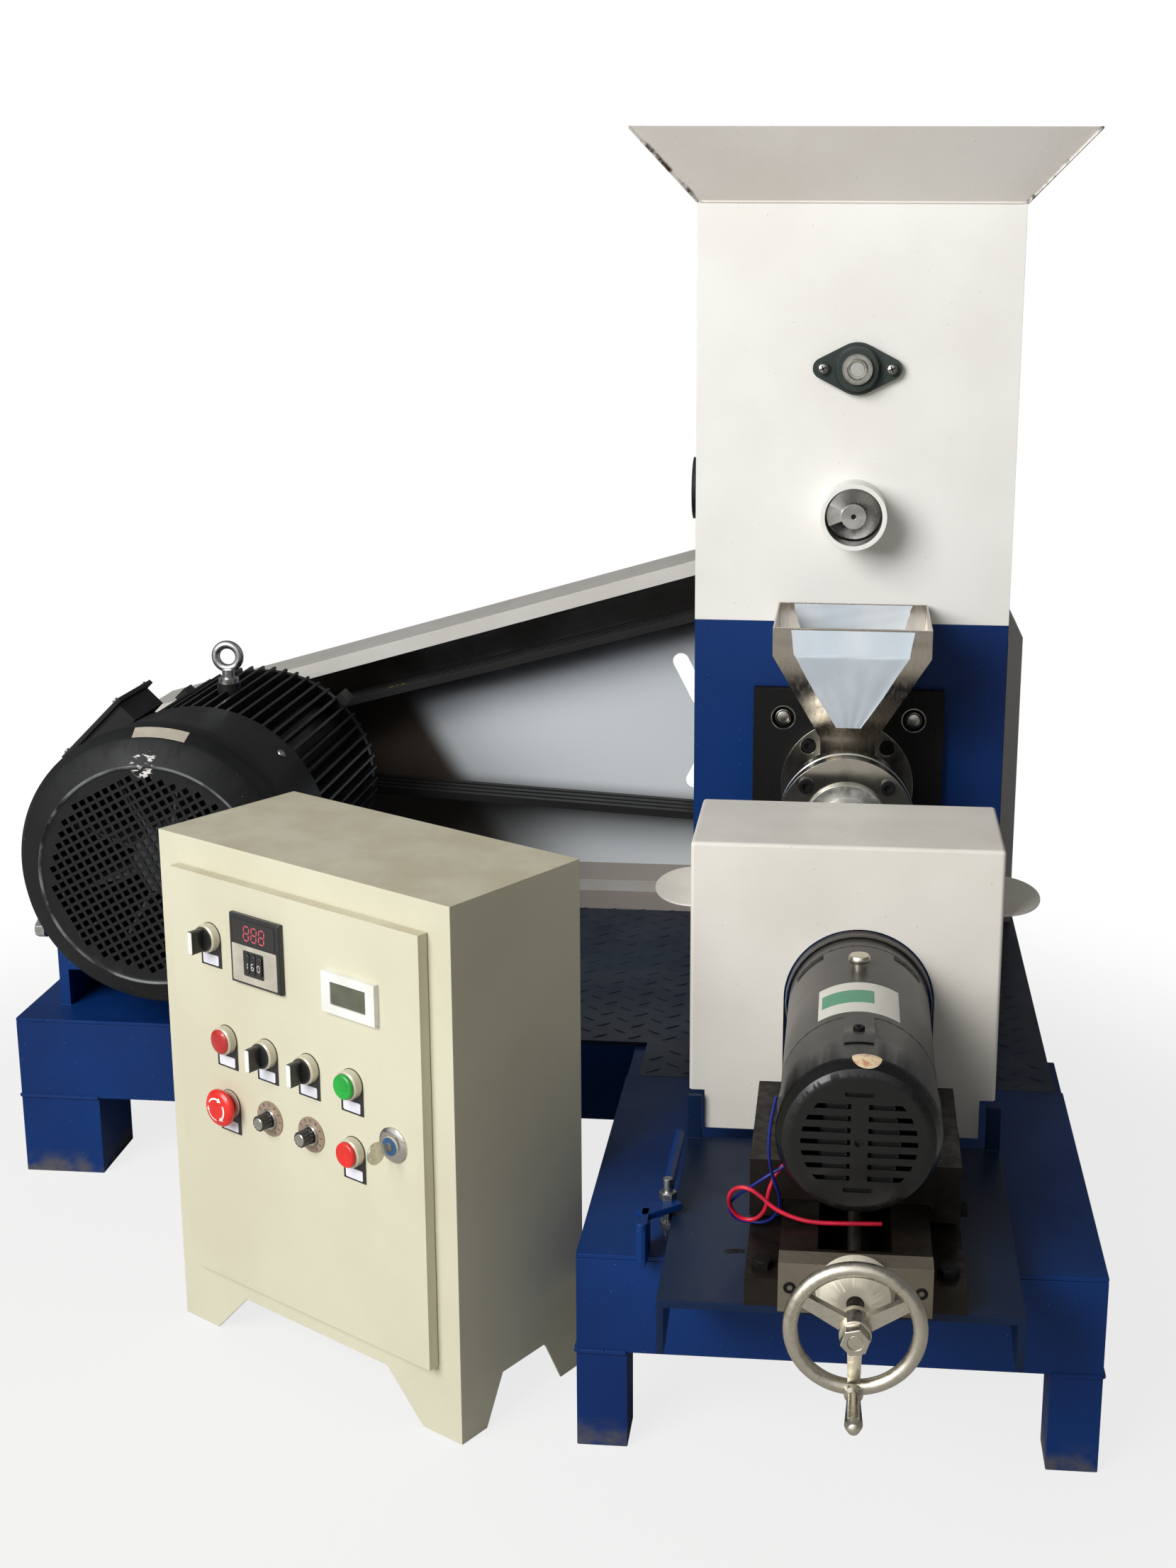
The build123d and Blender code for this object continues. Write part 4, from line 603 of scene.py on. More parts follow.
# Feed auger and agitator: turned stainless, bright at the auger's end, where the lathe's
# centre left a small hole, shown as a dark disc of painted shade. The feed tube's bore is
# painted dark from just inside its mouth: painted shade.
AUGER_STEEL = plain_metal("auger steel", "CFCDC8", 0.26, (8, 200, 8), 5, 1.0, "96928A", 0.3)
dress("feed_auger", AUGER_STEEL, 0.3)
dress("agitator", AUGER_STEEL, 0.3)
auger_low, auger_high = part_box("feed_auger")
auger_z = (auger_low[2] + auger_high[2]) / 2
# Painted shade: the centre hole is a dark disc standing just proud of the auger's end.
centre_hole_shade = placed(revolved([(0, 0.1), (1.6, 0.1), (2.4, 0.3), (2.8, 0)], 20),
                     facing(AXIS_X, auger_low[1], auger_z))
make_piece("auger_centre_hole_shade", centre_hole_shade, BLACKENED, "auger")
# Painted shade: inside the feed tube's bore, from 6 mm behind its mouth, the white is laid over with dark.
point = split(here(WHITE.node_tree, offset=(-AXIS_X, -tower_low[1], -auger_z)))
bore_shade = figured("LESS_THAN", away_from(point[0], point[2]), 0.0335)
washed(WHITE, times(bore_shade, ranged(point[1], -0.056, -0.050)), "34322F")


# Two-bolt flange bearing: grey-green cast iron round a ground steel insert, held by two
# cross-head screws, whose cross recesses are dark crosses of painted shade.
CAST_GREEN = enamel("cast bearing green", "3C4642", "2C3431", 0.55, "6B6F6A", 0.3,
                    "5A605B", 0.2, peel=0.0005)
dress("flange_bearing", CAST_GREEN, 0.8)
insert = revolved([(8.2, 0), (8.2, 2.4), (10.5, 2.6), (11.8, 1.6), (12.2, 0.4),
                   (16.2, 0.4), (16.8, 1.2), (17.4, 1.2), (17.4, 0)], 48)
screw = revolved([(0, 6.2), (3.5, 5.8), (6.2, 4.2), (7.3, 1.6), (7.3, 0)], 28)
bearing = [placed(insert, facing(*spot(0, -24, 994)))]
bearing += [placed(screw, facing(*spot(x, -9, 994))) for x in (-39.5, 39.5)]
make_piece("bearing_insert_and_screws", joined(bearing), BRIGHT_BOLT, "machine")


def block(width, depth, low, high):
    """A square block about the middle of X and Y, from z = low to z = high."""
    w, d = width / 2, depth / 2
    return prism([(-w, -d), (w, -d), (w, d), (-w, d)], low, high)


# Painted shade: each screw's cross recess is a dark cross standing from its head.
cross = joined([block(8, 1.4, 5, 6.4), block(1.4, 8, 5, 6.4)])
cross_recess_shade = [placed(cross, facing(*spot(x, -9, 994), 25)) for x in (-39.5, 39.5)]
make_piece("bearing_screw_cross_shade", joined(cross_recess_shade), BLACKENED, "machine")


# Feed drive and main motor: a small gearmotor bolted behind the tower, and a finned cast iron
# motor on rails with a pressed cowl over its grey fan. Both in black enamel; the cowl carries a
# thin grey line along its lip, partly rubbed paint and partly painted highlight, is flaked at one
# spot and has a faded silver label on its slope.
BLACK = enamel("motor black", "222224", "19191B", 0.46, "8C8A86", 0.28, "4A4A4A", 0.35, "6F6D6A", 0.03)
for node in ("feed_drive", "motor_frame", "terminal_box"):
    dress(node, BLACK, 1)
COWL = enamel("cowl black", "151617", "101112", 0.5, "8A8985", 0.3, "2E2F32", 0.3,
              "7E7B76", 0.02, gloss=0.06)
dress("fan_cowl", COWL, 1)
FAN_GREY = enamel("fan grey", "6A6D72", "55585D", 0.5, "8E8B86", 0.3)
dress("motor_fan", FAN_GREY, 0.5)
MOTOR_X, MOTOR_Z = -797, 420
tree = COWL.node_tree
near = put(tree, "ShaderNodeVectorMath", {0: here(tree), 1: spot(MOTOR_X, -208, 552)}, operation="DISTANCE")
flakes = ranged(noise(here(tree, (1, 1, 2.5)), 95, 3, 0.6), 0.56, 0.59)
washed(COWL, times(ranged(near.outputs["Value"], 0.018, 0.012), flakes), "DAD8D2")
# Partly rubbed paint, partly painted highlight: a thin grey line on the cowl's lip round the grille, broken
# by noise.
point = split(here(tree, offset=-spot(MOTOR_X, 0, MOTOR_Z)))
from_lip = figured("ABSOLUTE", figured("SUBTRACT", away_from(point[0], point[2]), 0.1305))
lip_wear_and_highlight = times(ranged(from_lip, 0.0022, 0.0008), figured("LESS_THAN", point[1], -0.2075))
wear_and_highlight_breaks = ranged(noise(here(tree), 18, 4, 0.6), 0.4, 0.6)
washed(COWL, times(lip_wear_and_highlight, wear_and_highlight_breaks), "77797C")


def at(x, y, z):
    """A place in millimetres from the floor under the middle of the tower's front."""
    return Matrix.Translation(spot(x, y, z))


def shifted(x, y, z):
    """A move in millimetres."""
    return Matrix.Translation((x / 1000, y / 1000, z / 1000))


def around(y, radius, angle, centre):
    """A place on a round body along Y: +Z points away from its axis at an angle from +X."""
    return at(centre[0], y, centre[1]) @ turned(90 - angle, "Y") @ shifted(0, 0, radius)


def wrapped(centre, angles, ys, radius, lift):
    """A patch round an axis along Y: (r cos a, y, r sin a) for r = radius(y) + lift, as a thin sheet."""
    a, y = np.meshgrid(np.radians(np.linspace(*angles, 40)), np.linspace(*ys, 20), indexing="ij")
    sheets = []
    for extra in (lift, -0.6):
        r = (radius(y) + extra) / 1000
        grid = np.stack([AXIS_X + centre[0] / 1000 + r * np.cos(a), tower_low[1] + y / 1000,
                         centre[1] / 1000 + r * np.sin(a)], axis=-1)
        sheets.append(grid)
    top, bottom = sheets
    ring = np.concatenate([top, bottom[:, ::-1]], axis=1)
    return shape_of(ring, close_v=True)


def cowl_radius(y):
    """The cowl's outside: up its front slope, along its raised band and back behind it."""
    return np.interp(y, [-208, -193, -172, -150, -146, -20], [136, 158, 169, 169, 162, 158])


LABEL_SILVER = plain_metal("faded silver label", "C9C0B0", 0.4, EVEN, 90, 0.25, "B0A898", 0.5)
cowl_label = wrapped((MOTOR_X, MOTOR_Z), (75, 97), (-189, -174), cowl_radius, 0.4)
make_piece("cowl_label", cowl_label, LABEL_SILVER, "machine")


# Motor screws and bolts: zinc pan heads hold the cowl, hexagon bolts the end shield and the
# feet, cheese heads the box's lid, and a jack bolt in the base's ear sets the belts' pull.
SCREW_ZINC = plain_metal("zinc screws", "AEB0AE", 0.32, EVEN, 150, 1.0, "77756F", 0.5)
pan = revolved([(0, 3.6), (3, 3.4), (5.2, 2.2), (6, 0.6), (6, -1)], 24)
cowl_screws = [around(-60, cowl_radius(-60), angle, (MOTOR_X, MOTOR_Z)) for angle in (44, 135, 225, 315)]
fixings = [placed(pan, place) for place in cowl_screws]
bolt = joined([revolved([(0, 2.4), (13, 2.4), (13.5, 2), (13.5, 0)], 28),
               placed(hexagon_head(19, 10.2), shifted(0, 0, 2.3))])
for side in (-1, 1):
    for y in (25, 240):
        fixings.append(placed(bolt, at(MOTOR_X + side * 138, y, 282)))
shield_bolt = hexagon_head(13, 6.6)
for angle in CORNERS:
    x, z = MOTOR_X + 153 * cos(radians(angle)), MOTOR_Z + 153 * sin(radians(angle))
    fixings.append(placed(shield_bolt, at(x, 266, z) @ turned(-90, "X")))
box_lid = at(MOTOR_X, 0, MOTOR_Z) @ turned(-45, "Y")
cheese = ringed(3.8, 1.6, 2.6, 1.2, 24)
for x in (-62, 32):
    for y in (2, 98):
        fixings.append(placed(cheese, box_lid @ shifted(x, y, 190)))
shank = revolved([(0, 41), (5.5, 41), (6, 40), (6, 0), (0, 0)], 24)
fixings += [placed(hexagon_head(20, 12.5), at(-989.5, -64, 299) @ turned(-90, "Y")),
            placed(shank, at(-991, -64, 299) @ turned(90, "Y")),
            placed(hexagon_head(18, 7), at(-960, -64, 299) @ turned(90, "Y"))]
make_piece("motor_fixings", joined(fixings), SCREW_ZINC, "machine", edge=0.2)


# Lifting eye: a ring on a threaded shank, forged and zinc plated, and screwed down to its
# collar into the top of the motor.
ZINC = plain_metal("zinc plate", "B7B9B8", 0.3, EVEN, 140, 1.0, "8B8E8E", 0.45)
dress("eyebolt", ZINC, 0.8)


# Drive belts: four rubber belts side by side, dusty on their flanks, stretched over both
# pulleys. The outermost has a worn yellow print on its back.
RUBBER = enamel("belt rubber", "1B1B1B", "262524", 0.6, "3A3835", 0.1, "3A3A38", 0.35)
dress("drive_belts", RUBBER, 0.4)
MARK, tree, shader = new_finish("belt print yellow", Roughness=0.6)
worn_off = ranged(noise(here(tree), 260, 3, 0.6), 0.35, 0.6)
tinted(shader, worn_off, "C9A227", "4A4020")
BELT_SLOPE = 0.2693
stripes = []
for ends in ((-661, -652), (-649, -645), (-642, -636)):
    corners = [[spot(x, y, 474.3 + (x + 811.4) * BELT_SLOPE) for y in (392.5, 398.5)] for x in ends]
    stripes.append(shape_of(np.array(corners)))
make_piece("belt_mark", joined(stripes), MARK, "machine")


# Belt guard: folded sheet, off-white outside. Its inner face is a paler bluish grey, a painted
# reflection on its white paint. Over that lie dark clouds above and along the belts and beside the
# motor, partly the belts' dust and partly painted shade, a painted shadow below the lower belt that
# darkens to the left, and painted shade on the front of the bottom flange.
GUARD = enamel("guard white", "D9D6D0", "CFCBC4", 0.4, "7A756C", 0.2, "B9B3A8", 0.3, "8A8378", 0.02)
dress("belt_guard", GUARD, 0.6)
tree = GUARD.node_tree
point = split(here(tree))
normal = split(put(tree, "ShaderNodeTexCoord").outputs["Normal"])
to_operator = figured("LESS_THAN", normal[1], -0.5)
inner = times(figured("GREATER_THAN", point[1], spot(0, 484, 0)[1]), to_operator)
clouds = ranged(noise(here(tree), 9, 4, 0.5), 0.25, 0.75, 0.75, 1.0)


def above(x0, z0, slope):
    """How far a point lies above a line in the guard's plane through (x0, z0)."""
    start = spot(x0, 0, z0)
    height = figured("MULTIPLY_ADD", point[0], slope, start[2] - start[0] * slope)
    return figured("SUBTRACT", point[2], height)


def inside_wash(mask, colour):
    """A colour on the inner face, as far as a mask lets it."""
    washed(GUARD, times(inner, mask), colour)


upper, lower = above(-811.4, 478, BELT_SLOPE), above(-800, 352, -0.0554)
# Painted reflection: the whole inner face turns a pale bluish grey.
inside_wash(1.0, "DDE3E6")
# Partly the belts' dust, partly painted shade: dark clouds above the upper belt and along it, and a dark
# band along the lower belt.
inside_wash(times(clouds, ranged(upper, -0.066, -0.026)), "48423E")
inside_wash(times(ranged(figured("ABSOLUTE", upper), 0.030, 0.0), clouds), "2A2724")
inside_wash(times(ranged(figured("ABSOLUTE", lower), 0.034, 0.004), 0.75), "3A3735")
# Partly the belts' dust, partly painted shade: a dark slanted patch beside the motor.
SLANT = 0.588
beside_motor = figured("SUBTRACT", point[0], spot(-639, 0, 0)[0] + 0.463 * SLANT)
inside_wash(ranged(figured("MULTIPLY_ADD", point[2], SLANT, beside_motor), 0.028, -0.018), "4A4139")
# Painted shadow below the lower belt, darker to the left.
shadow = ranged(figured("SUBTRACT", point[0], spot(-470, 0, 0)[0]), 0.10, -0.08)
inside_wash(times(figured("LESS_THAN", lower, 0.0), times(shadow, 0.8)), "4E4A47")
BOTTOM_FLANGE = 0.2325
# Painted shade: the front face of the guard's bottom flange is darkened.
flange_shade = times(figured("LESS_THAN", point[2], BOTTOM_FLANGE), to_operator)
washed(GUARD, times(flange_shade, 0.85), "9A8F86")


# Cutter cover: folded sheet in off-white with chipped edges. It stands on the bench and is
# lifted off by the two rounded wings at its sides.
COVER = enamel("cover white", "EDE9E0", "E4DFD5", 0.42, "6F6A60", 0.28, "CFC8BC", 0.3, "77716A", 0.03)
dress("cutter_cover", COVER, 0.6)


# Bench: plate and bent uprights in blue enamel over older grey paint, darkened by oil and
# dust. It is clamped to the beams of the table.
BENCH = enamel("oiled bench blue", "0B2142", "091932", 0.4, "2A2825", 0.36, "1C2A3E", 0.4,
               "5C646E", 0.03, gloss=0.08)
dress("bench", BENCH, 1.2)


# Slide: cast iron, black with oil, its slideway worn brown and grey. A lead screw with a
# rolled thread runs through the bare end plate and carries the carriage.
SLIDE = plain_metal("oiled slide iron", "26211D", 0.42, EVEN, 90, 0.4, "14110F", 0.55)
dress("slide_base", SLIDE, 1)
dress("carriage", SLIDE, 1)


def thread():
    """The lead screw's thread: r = 6.1 + 0.9 w mm, w a trapezoid wave of (y / pitch - a / 2 pi)."""
    pitch = 0.004
    a = np.linspace(0, 2 * pi, 24, endpoint=False)
    y = np.arange(-0.735, -0.457, pitch / 6)[:, None] + 0 * a
    phase = np.mod(y / pitch - a / (2 * pi), 1.0)
    r = 0.0061 + 0.0009 * np.clip(1.5 - np.abs(phase - 0.5) * 5, 0, 1)
    plain_end = np.array([(-0.852, 0.0), (-0.852, 0.0068), (-0.850, 0.0070), (-0.7355, 0.0070)])
    far_end = np.array([(-0.457, 0.0065), (-0.457, 0.0)])
    level = np.concatenate([plain_end[:, :1] + 0 * a, y, far_end[:, :1] + 0 * a])
    radius = np.concatenate([plain_end[:, 1:] + 0 * a, r, far_end[:, 1:] + 0 * a])
    middle = np.array(spot(17, 0, 260))
    grid = np.stack([radius * np.cos(a), level, radius * np.sin(a)], axis=-1)
    return shape_of(middle + grid, close_v=True)


screw_thread = make_piece("lead_screw_thread", thread(), SLIDE, "wheel")
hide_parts("lead_screw")
# Painted shade: the end plate's colour is darkened to its tone in the motor's shadow; its cup in front is
# cream.
END_PLATE = plain_metal("bare cast plate", "736C5F", 0.5, EVEN, 200, 0.3, "6A6355", 0.5)
dress("slide_front_plate", END_PLATE, 1.5)
depth = split(here(END_PLATE.node_tree))[1]
washed(END_PLATE, figured("LESS_THAN", depth, spot(0, -778.3, 0)[1]), "E2DBC8")


# Slide bolts: black hexagon bolts along the gib on the right and through the base, socket
# screws that hold the end plate, and thin dark patches of painted shade where the bench has
# slots that further bolts go into.
gib_bolt, base_bolt = hexagon_head(13, 7), hexagon_head(17, 8)
bolts = [placed(gib_bolt, at(112, y, 269) @ turned(90, "Y")) for y in (-640, -567, -494)]
bolts += [placed(base_bolt, at(x, y, 255)) for x in (-64, 98) for y in (-735, -470)]
plate_screw = ringed(5.5, -5, 0.8, 4)
bolts += [placed(plate_screw, facing(*spot(x, -778, 260))) for x in (-39, 73)]
half = [(3.5 * (1 - cos(a)) - 9.5, 3.5 * sin(a)) for a in np.linspace(-pi / 2, pi / 2, 9)]
# Painted shade: a thin dark stadium lies on the bench where each slot opens.
bench_slot_shade = prism([(-px, -py) for px, py in half] + half, 0, 0.3)
bolts += [placed(bench_slot_shade, at(x, y, 229) @ turned(8)) for x, y in ((-92.5, -663), (100.5, -618))]
make_piece("slide_bolts", joined(bolts), BLACKENED, "machine", edge=0.3)


# Bench clamp: a bent foot and arm of flat bar in the frame's blue, with a hand lever, drawn
# down by a stud with two zinc nuts on the table's left beam.
def bar(start, end, radius):
    """A round bar between two points, its ends cut square."""
    along = end - start
    turn = along.to_track_quat("Z", "Y").to_matrix().to_4x4()
    length = along.length * 1000
    straight = revolved([(0, 0), (radius, 0), (radius, length), (0, length)], 20)
    return placed(straight, Matrix.Translation(start) @ turn)


clamp = [placed(block(8, 45, 0, 38), at(-179.5, -633, 203)),
         placed(block(44, 16, 0, 7), at(-168, -606, 234) @ turned(38)),
         bar(spot(-161, -590, 252), spot(-160, -477, 254), 5.5),
         bar(spot(-179.5, -650, 207), spot(-179.5, -650, 247), 6)]
make_piece("bench_clamp", joined(clamp), BLUE, "machine", edge=1)
stud = [bar(spot(-161, -590, 203), spot(-161, -590, 262), 4.5)]
stud += [placed(hexagon_head(15, 8), at(-161, -590, z)) for z in (211, 241)]
make_piece("bench_clamp_stud", joined(stud), SCREW_ZINC, "machine", edge=0.2)


# Handwheel: cast iron with three spokes and a turned grip, nickel plated. A hollow nut with
# a collar holds it on the end of the lead screw; a dark disc deep in its hollow is painted shade.
NICKEL = plain_metal("worn nickel", "CFC9BA", 0.3, EVEN, 180, 1.0, "8A8474", 0.42)
dress("handwheel", NICKEL, 0.8)
dress("handwheel_grip", NICKEL, 0.4)
collar = [(7, 0), (13.5, 0), (13.5, 1.4), (12.8, 1.8), (7, 1.8)]
screw_end = facing(*spot(17, -848, 260))
hexagon = placed(ringed(-22, 6.6, 11, 6, 48), shifted(0, 0, 1.6))
nut = placed(joined([revolved(collar, 36), hexagon]), screw_end @ turned(12))
make_piece("handwheel_nut", nut, NICKEL, "wheel", edge=0.3)
# Painted shade: a dark disc at the bottom of the nut's hollow.
hollow_shade = placed(revolved([(0, 7), (6.4, 7), (6.4, 6.4)], 30), screw_end)
make_piece("handwheel_nut_hollow_shade", hollow_shade, BLACKENED, "wheel")


# Cutter motor: a rolled grey body with a glossy black pressed fan cover, slotted in front, on
# the carriage; slots longer than its own are painted black and dull on the cover's face as painted
# shade. It has a paper label with a green band, a clip, a cap and a round sticker.
GREY = enamel("motor grey", "4A4744", "3E3C3A", 0.3, "7C7A76", 0.2, "5A5754", 0.2)
dress("cutter_motor", GREY, 0.6)
GLOSS = enamel("gloss black", "080808", "0C0C0C", 0.3, "2A2A2A", 0.1, "141414", 0.2, gloss=0.55)
dress("cutter_end_bell", GLOSS, 0.6)
CUTTER_AXIS = (17, 383)
SLIT_PITCH = 0.011
tree = GLOSS.node_tree
point = split(here(tree, offset=-spot(17, -750, 383)))
# Painted shade: slots across the bell's front are painted black and dull, reaching further than the cover's
# own.
slit_shade = figured("LESS_THAN", figured("PINGPONG", point[2], SLIT_PITCH / 2), 0.00225)
for wanted in (figured("LESS_THAN", away_from(point[0], point[2]), 0.050),
               figured("GREATER_THAN", figured("ABSOLUTE", point[0]), 0.0075),
               figured("LESS_THAN", figured("ABSOLUTE", point[2]), 0.038),
               figured("LESS_THAN", point[1], 0.0005)):
    slit_shade = times(slit_shade, wanted)
washed(GLOSS, slit_shade, "010101")
for shine, value in (("Coat Weight", 0.55), ("Specular IOR Level", 0.2)):
    dulled = figured("MULTIPLY_ADD", slit_shade, -value, value)
    tree.links.new(dulled, tree.nodes["Principled BSDF"].inputs[shine])
PAPER, tree, shader = new_finish("label paper", Roughness=0.42, Coat_Weight=0.3)
tinted(shader, noise(here(tree), 45, 4), "E6E4DC", "D6D2C6")
BAND, tree, shader = new_finish("label green", Roughness=0.4, Coat_Weight=0.3)
tinted(shader, noise(here(tree), 60, 4), "3F9A74", "2F8562")


def body_radius(y):
    """The cutter motor's rolled body."""
    return 70.5 + 0 * y


motor_label = wrapped(CUTTER_AXIS, (60, 123), (-628, -556), body_radius, 0.4)
make_piece("motor_label", motor_label, PAPER, "cutter_slide")
band = wrapped(CUTTER_AXIS, (80, 120), (-606, -576), body_radius, 0.6)
make_piece("motor_label_band", band, BAND, "cutter_slide")
gaps = [wrapped(CUTTER_AXIS, angles, (-469, -459), body_radius, 0.4) for angles in ((34, 62), (121, 150))]
for ys in ((-455.5, -454.6), (-640.6, -639.8)):
    gaps.append(wrapped(CUTTER_AXIS, (-180, 179), ys, body_radius, 0.3))
make_piece("motor_joints", joined(gaps), BLACKENED, "cutter_slide")


def end_ring(y):
    """The rim of the motor's end shield: 74.4 in the middle, 1 mm less at its rounded edges."""
    return 74.4 - 1.0 * (np.abs(y + 427) / 9) ** 6


ring = wrapped(CUTTER_AXIS, (-180, 180), (-436, -418), end_ring, 0)
make_piece("motor_end_ring", ring, GREY, "cutter_slide")
cap = revolved([(7.5, -1), (7.5, 4), (9.5, 4.5), (10.5, 6), (10.5, 9),
                (9.2, 11.2), (5, 12.2), (0, 12.4)], 32)
make_piece("motor_cap", placed(cap, around(-511, 70.5, 91, CUTTER_AXIS)), NICKEL, "cutter_slide")


def strap(y):
    """The clip's strap stands 2 mm off the body, more over the joint: 72.5 + 2 exp(-((y + 690) / 12)^2)."""
    return 72.5 + 2.0 * np.exp(-((y + 690) / 12) ** 2)


clip = wrapped(CUTTER_AXIS, (81, 102), (-704, -645), strap, 1)
make_piece("motor_clip", clip, GREY, "cutter_slide", edge=0.3)
clip_screw = placed(ringed(5.2, 2.2, 4.2, 2, 28), around(-683, 74.6, 91.5, CUTTER_AXIS))
make_piece("motor_clip_screw", clip_screw, BLACKENED, "cutter_slide")


def sticker():
    """A round sticker on the bell's shoulder: it fills t^2 + (R a)^2 < r^2, with t the length along
    the shoulder's profile of (t, radius, y) and a the angle about the motor's axis."""
    turn = np.linspace(0, 2 * pi, 40, endpoint=False)
    ring = np.linspace(0, 0.0125, 9)[:, None]
    t = 0.0155 + ring * np.cos(turn)
    a = radians(86) + ring * np.sin(turn) / 0.070
    profile = np.array([[-0.0120, 0.0720, -0.722], [0.0150, 0.0720, -0.7337], [0.0284, 0.0660, -0.746],
                        [0.0373, 0.0580, -0.750]])
    r = np.interp(t, profile[:, 0], profile[:, 1]) + 0.0004
    y = np.interp(t, profile[:, 0], profile[:, 2]) - 0.0003
    middle = np.array(spot(CUTTER_AXIS[0], 0, CUTTER_AXIS[1]))
    return shape_of(middle + np.stack([r * np.cos(a), y, r * np.sin(a)], axis=-1), close_v=True)


STICKER, tree, shader = new_finish("sticker cream", Roughness=0.35, Coat_Weight=0.5)
tinted(shader, ranged(noise(here(tree), 120, 3), 0.45, 0.6), "E3CDA8", "C98F6E")
make_piece("bell_sticker", sticker(), STICKER, "cutter_slide")
foot_bolt = hexagon_head(12, 6.5)
foot_bolts = [placed(foot_bolt, at(x, y, 322)) for x in (-36, 70) for y in (-618, -512)]
make_piece("motor_foot_bolts", joined(foot_bolts), SCREW_ZINC, "cutter_slide", edge=0.3)
dress("cutter_knives", TURNED, 0.4)


# Two loose leads from the cutter motor's gland: stranded copper in soft plastic, red and
# blue. The red one lies across the bed, nicked near its end; the blue one is bent up.
def lead(name, node, route, diameter, colour, second):
    """A round lead along a smooth curve that has the route's points as its control points."""
    curve = bpy.data.curves.new(name, "CURVE")
    curve.dimensions = "3D"
    curve.bevel_depth = diameter / 2
    curve.bevel_resolution = 5
    curve.use_fill_caps = True
    line = curve.splines.new("NURBS")
    line.points.add(len(route) - 1)
    points = [(*spot(*point), 1) for point in route]
    line.points.foreach_set("co", np.ravel(points))
    line.order_u = 3
    line.use_endpoint_u = True
    line.resolution_u = 8
    material, tree, shader = new_finish(name + " plastic", IOR=1.46)
    coated(tree, shader, colour, second, 0.00005, Cloud_Scale=60, Peel_Scale=900, Roughness=0.38)
    curve.materials.append(material)
    made = bpy.data.objects.new(name, curve)
    bpy.context.scene.collection.objects.link(made)
    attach(made, "cutter_slide")
    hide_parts(node)
    return made


RED_ROUTE = [
    (-39, -671, 332), (-48, -673, 323), (-57, -676, 312), (-62, -679, 298), (-63, -677, 283),
    (-68, -673, 271), (-77, -669, 263.5), (-88, -668, 265), (-95, -671, 274), (-98, -677, 286),
    (-96, -683, 298), (-89, -688, 306), (-78, -692, 307), (-67, -694, 300), (-56, -697, 291),
    (-39, -700, 284.5), (-20, -703, 282), (9, -703, 282.5), (40, -702, 283.5),
]
BLUE_ROUTE = [
    (-39, -681, 332), (-48, -683, 325), (-59, -685, 319), (-69, -684, 311), (-79, -681, 302),
    (-89, -677, 293), (-97, -671, 282), (-98, -664, 270), (-91, -660, 259), (-79, -659, 257),
    (-67, -662, 258), (-57, -668, 267), (-51, -676, 282), (-52, -684, 299), (-57, -691, 316),
    (-61, -696, 335), (-62, -698, 356), (-60, -696, 377), (-56, -693, 397),
]
red_lead = lead("red_lead_wire", "red_lead", RED_ROUTE, 0.004, "D81E3C", "B01530")
blue_lead = lead("blue_lead_wire", "blue_lead", BLUE_ROUTE, 0.003, "16258A", "101B66")


# Control cabinet: folded sheet in cream powder coat, dusty on top, its door let into the
# front and hung on the left. Its lamps, buttons and knobs are moulded plastic.
CREAM = enamel("cabinet cream", "D3D0B9", "CCC8B0", 0.45, "8F876E", 0.12, "B4A386", 0.5, "9C957E", 0.01)
for node in ("cabinet_body", "cabinet_door"):
    dress(node, CREAM, 0.8)


def moulding(name, colour, second, roughness, coat=0.3):
    """Moulded plastic: nearly even colour, with faint clouds in its gloss."""
    material, tree, shader = new_finish(name, Coat_Weight=coat, Coat_Roughness=0.15, IOR=1.49)
    coated(tree, shader, colour, second, 0.00003, Cloud_Scale=40, Peel_Scale=700, Roughness=roughness,
           Roughness_Swing=0.08)
    return material


BLACK_PLASTIC = moulding("black plastic", "1A1A1B", "222223", 0.35)
WHITE_PLASTIC = moulding("white plastic", "ECECE8", "E2E2DC", 0.35)
BEZEL = moulding("bezel plastic", "CFC9B4", "BEB8A2", 0.28, 0.6)
RED_PLASTIC = moulding("red plastic", "E8261C", "D01A12", 0.28)
LAMP_RED = moulding("lamp red", "D01818", "A81010", 0.18, 0.8)
GREEN_PLASTIC = moulding("green plastic", "16B03C", "109030", 0.28)
finishes = {
    "temperature_controller": BLACK_PLASTIC, "panel_meter": WHITE_PLASTIC, "device_bezels": BEZEL,
    "pilot_lamp": LAMP_RED, "door_plates": BLACK_PLASTIC, "power_selector": BLACK_PLASTIC,
    "feed_selector": BLACK_PLASTIC, "cutter_selector": BLACK_PLASTIC, "feed_speed_knob": BLACK_PLASTIC,
    "cutter_speed_knob": BLACK_PLASTIC, "start_button": GREEN_PLASTIC, "stop_button": RED_PLASTIC,
    "emergency_stop": RED_PLASTIC, "key": NICKEL,
}
for node, material in finishes.items():
    dress(node, material, 0.4)
CABINET = at(-699.3, -432.9, 0) @ turned(-31.685)


def on_door(u, z, out=0.0, turn=0.0):
    """A place (u, z) millimetres on the door and out in front of it; its +Z looks out and +Y up."""
    return CABINET @ facing(u / 1000, (-13 - out) / 1000, z / 1000, turn)


def plaque(width, height, thick, corner=1):
    """A flat plate with cut corners, centred, from 0 to thick."""
    w, h, c = width / 2, height / 2, corner
    right = [(w - c, -h), (w, -h + c), (w, h - c), (w - c, h)]
    return prism(right + [(-x, -y) for x, y in right], 0, thick)


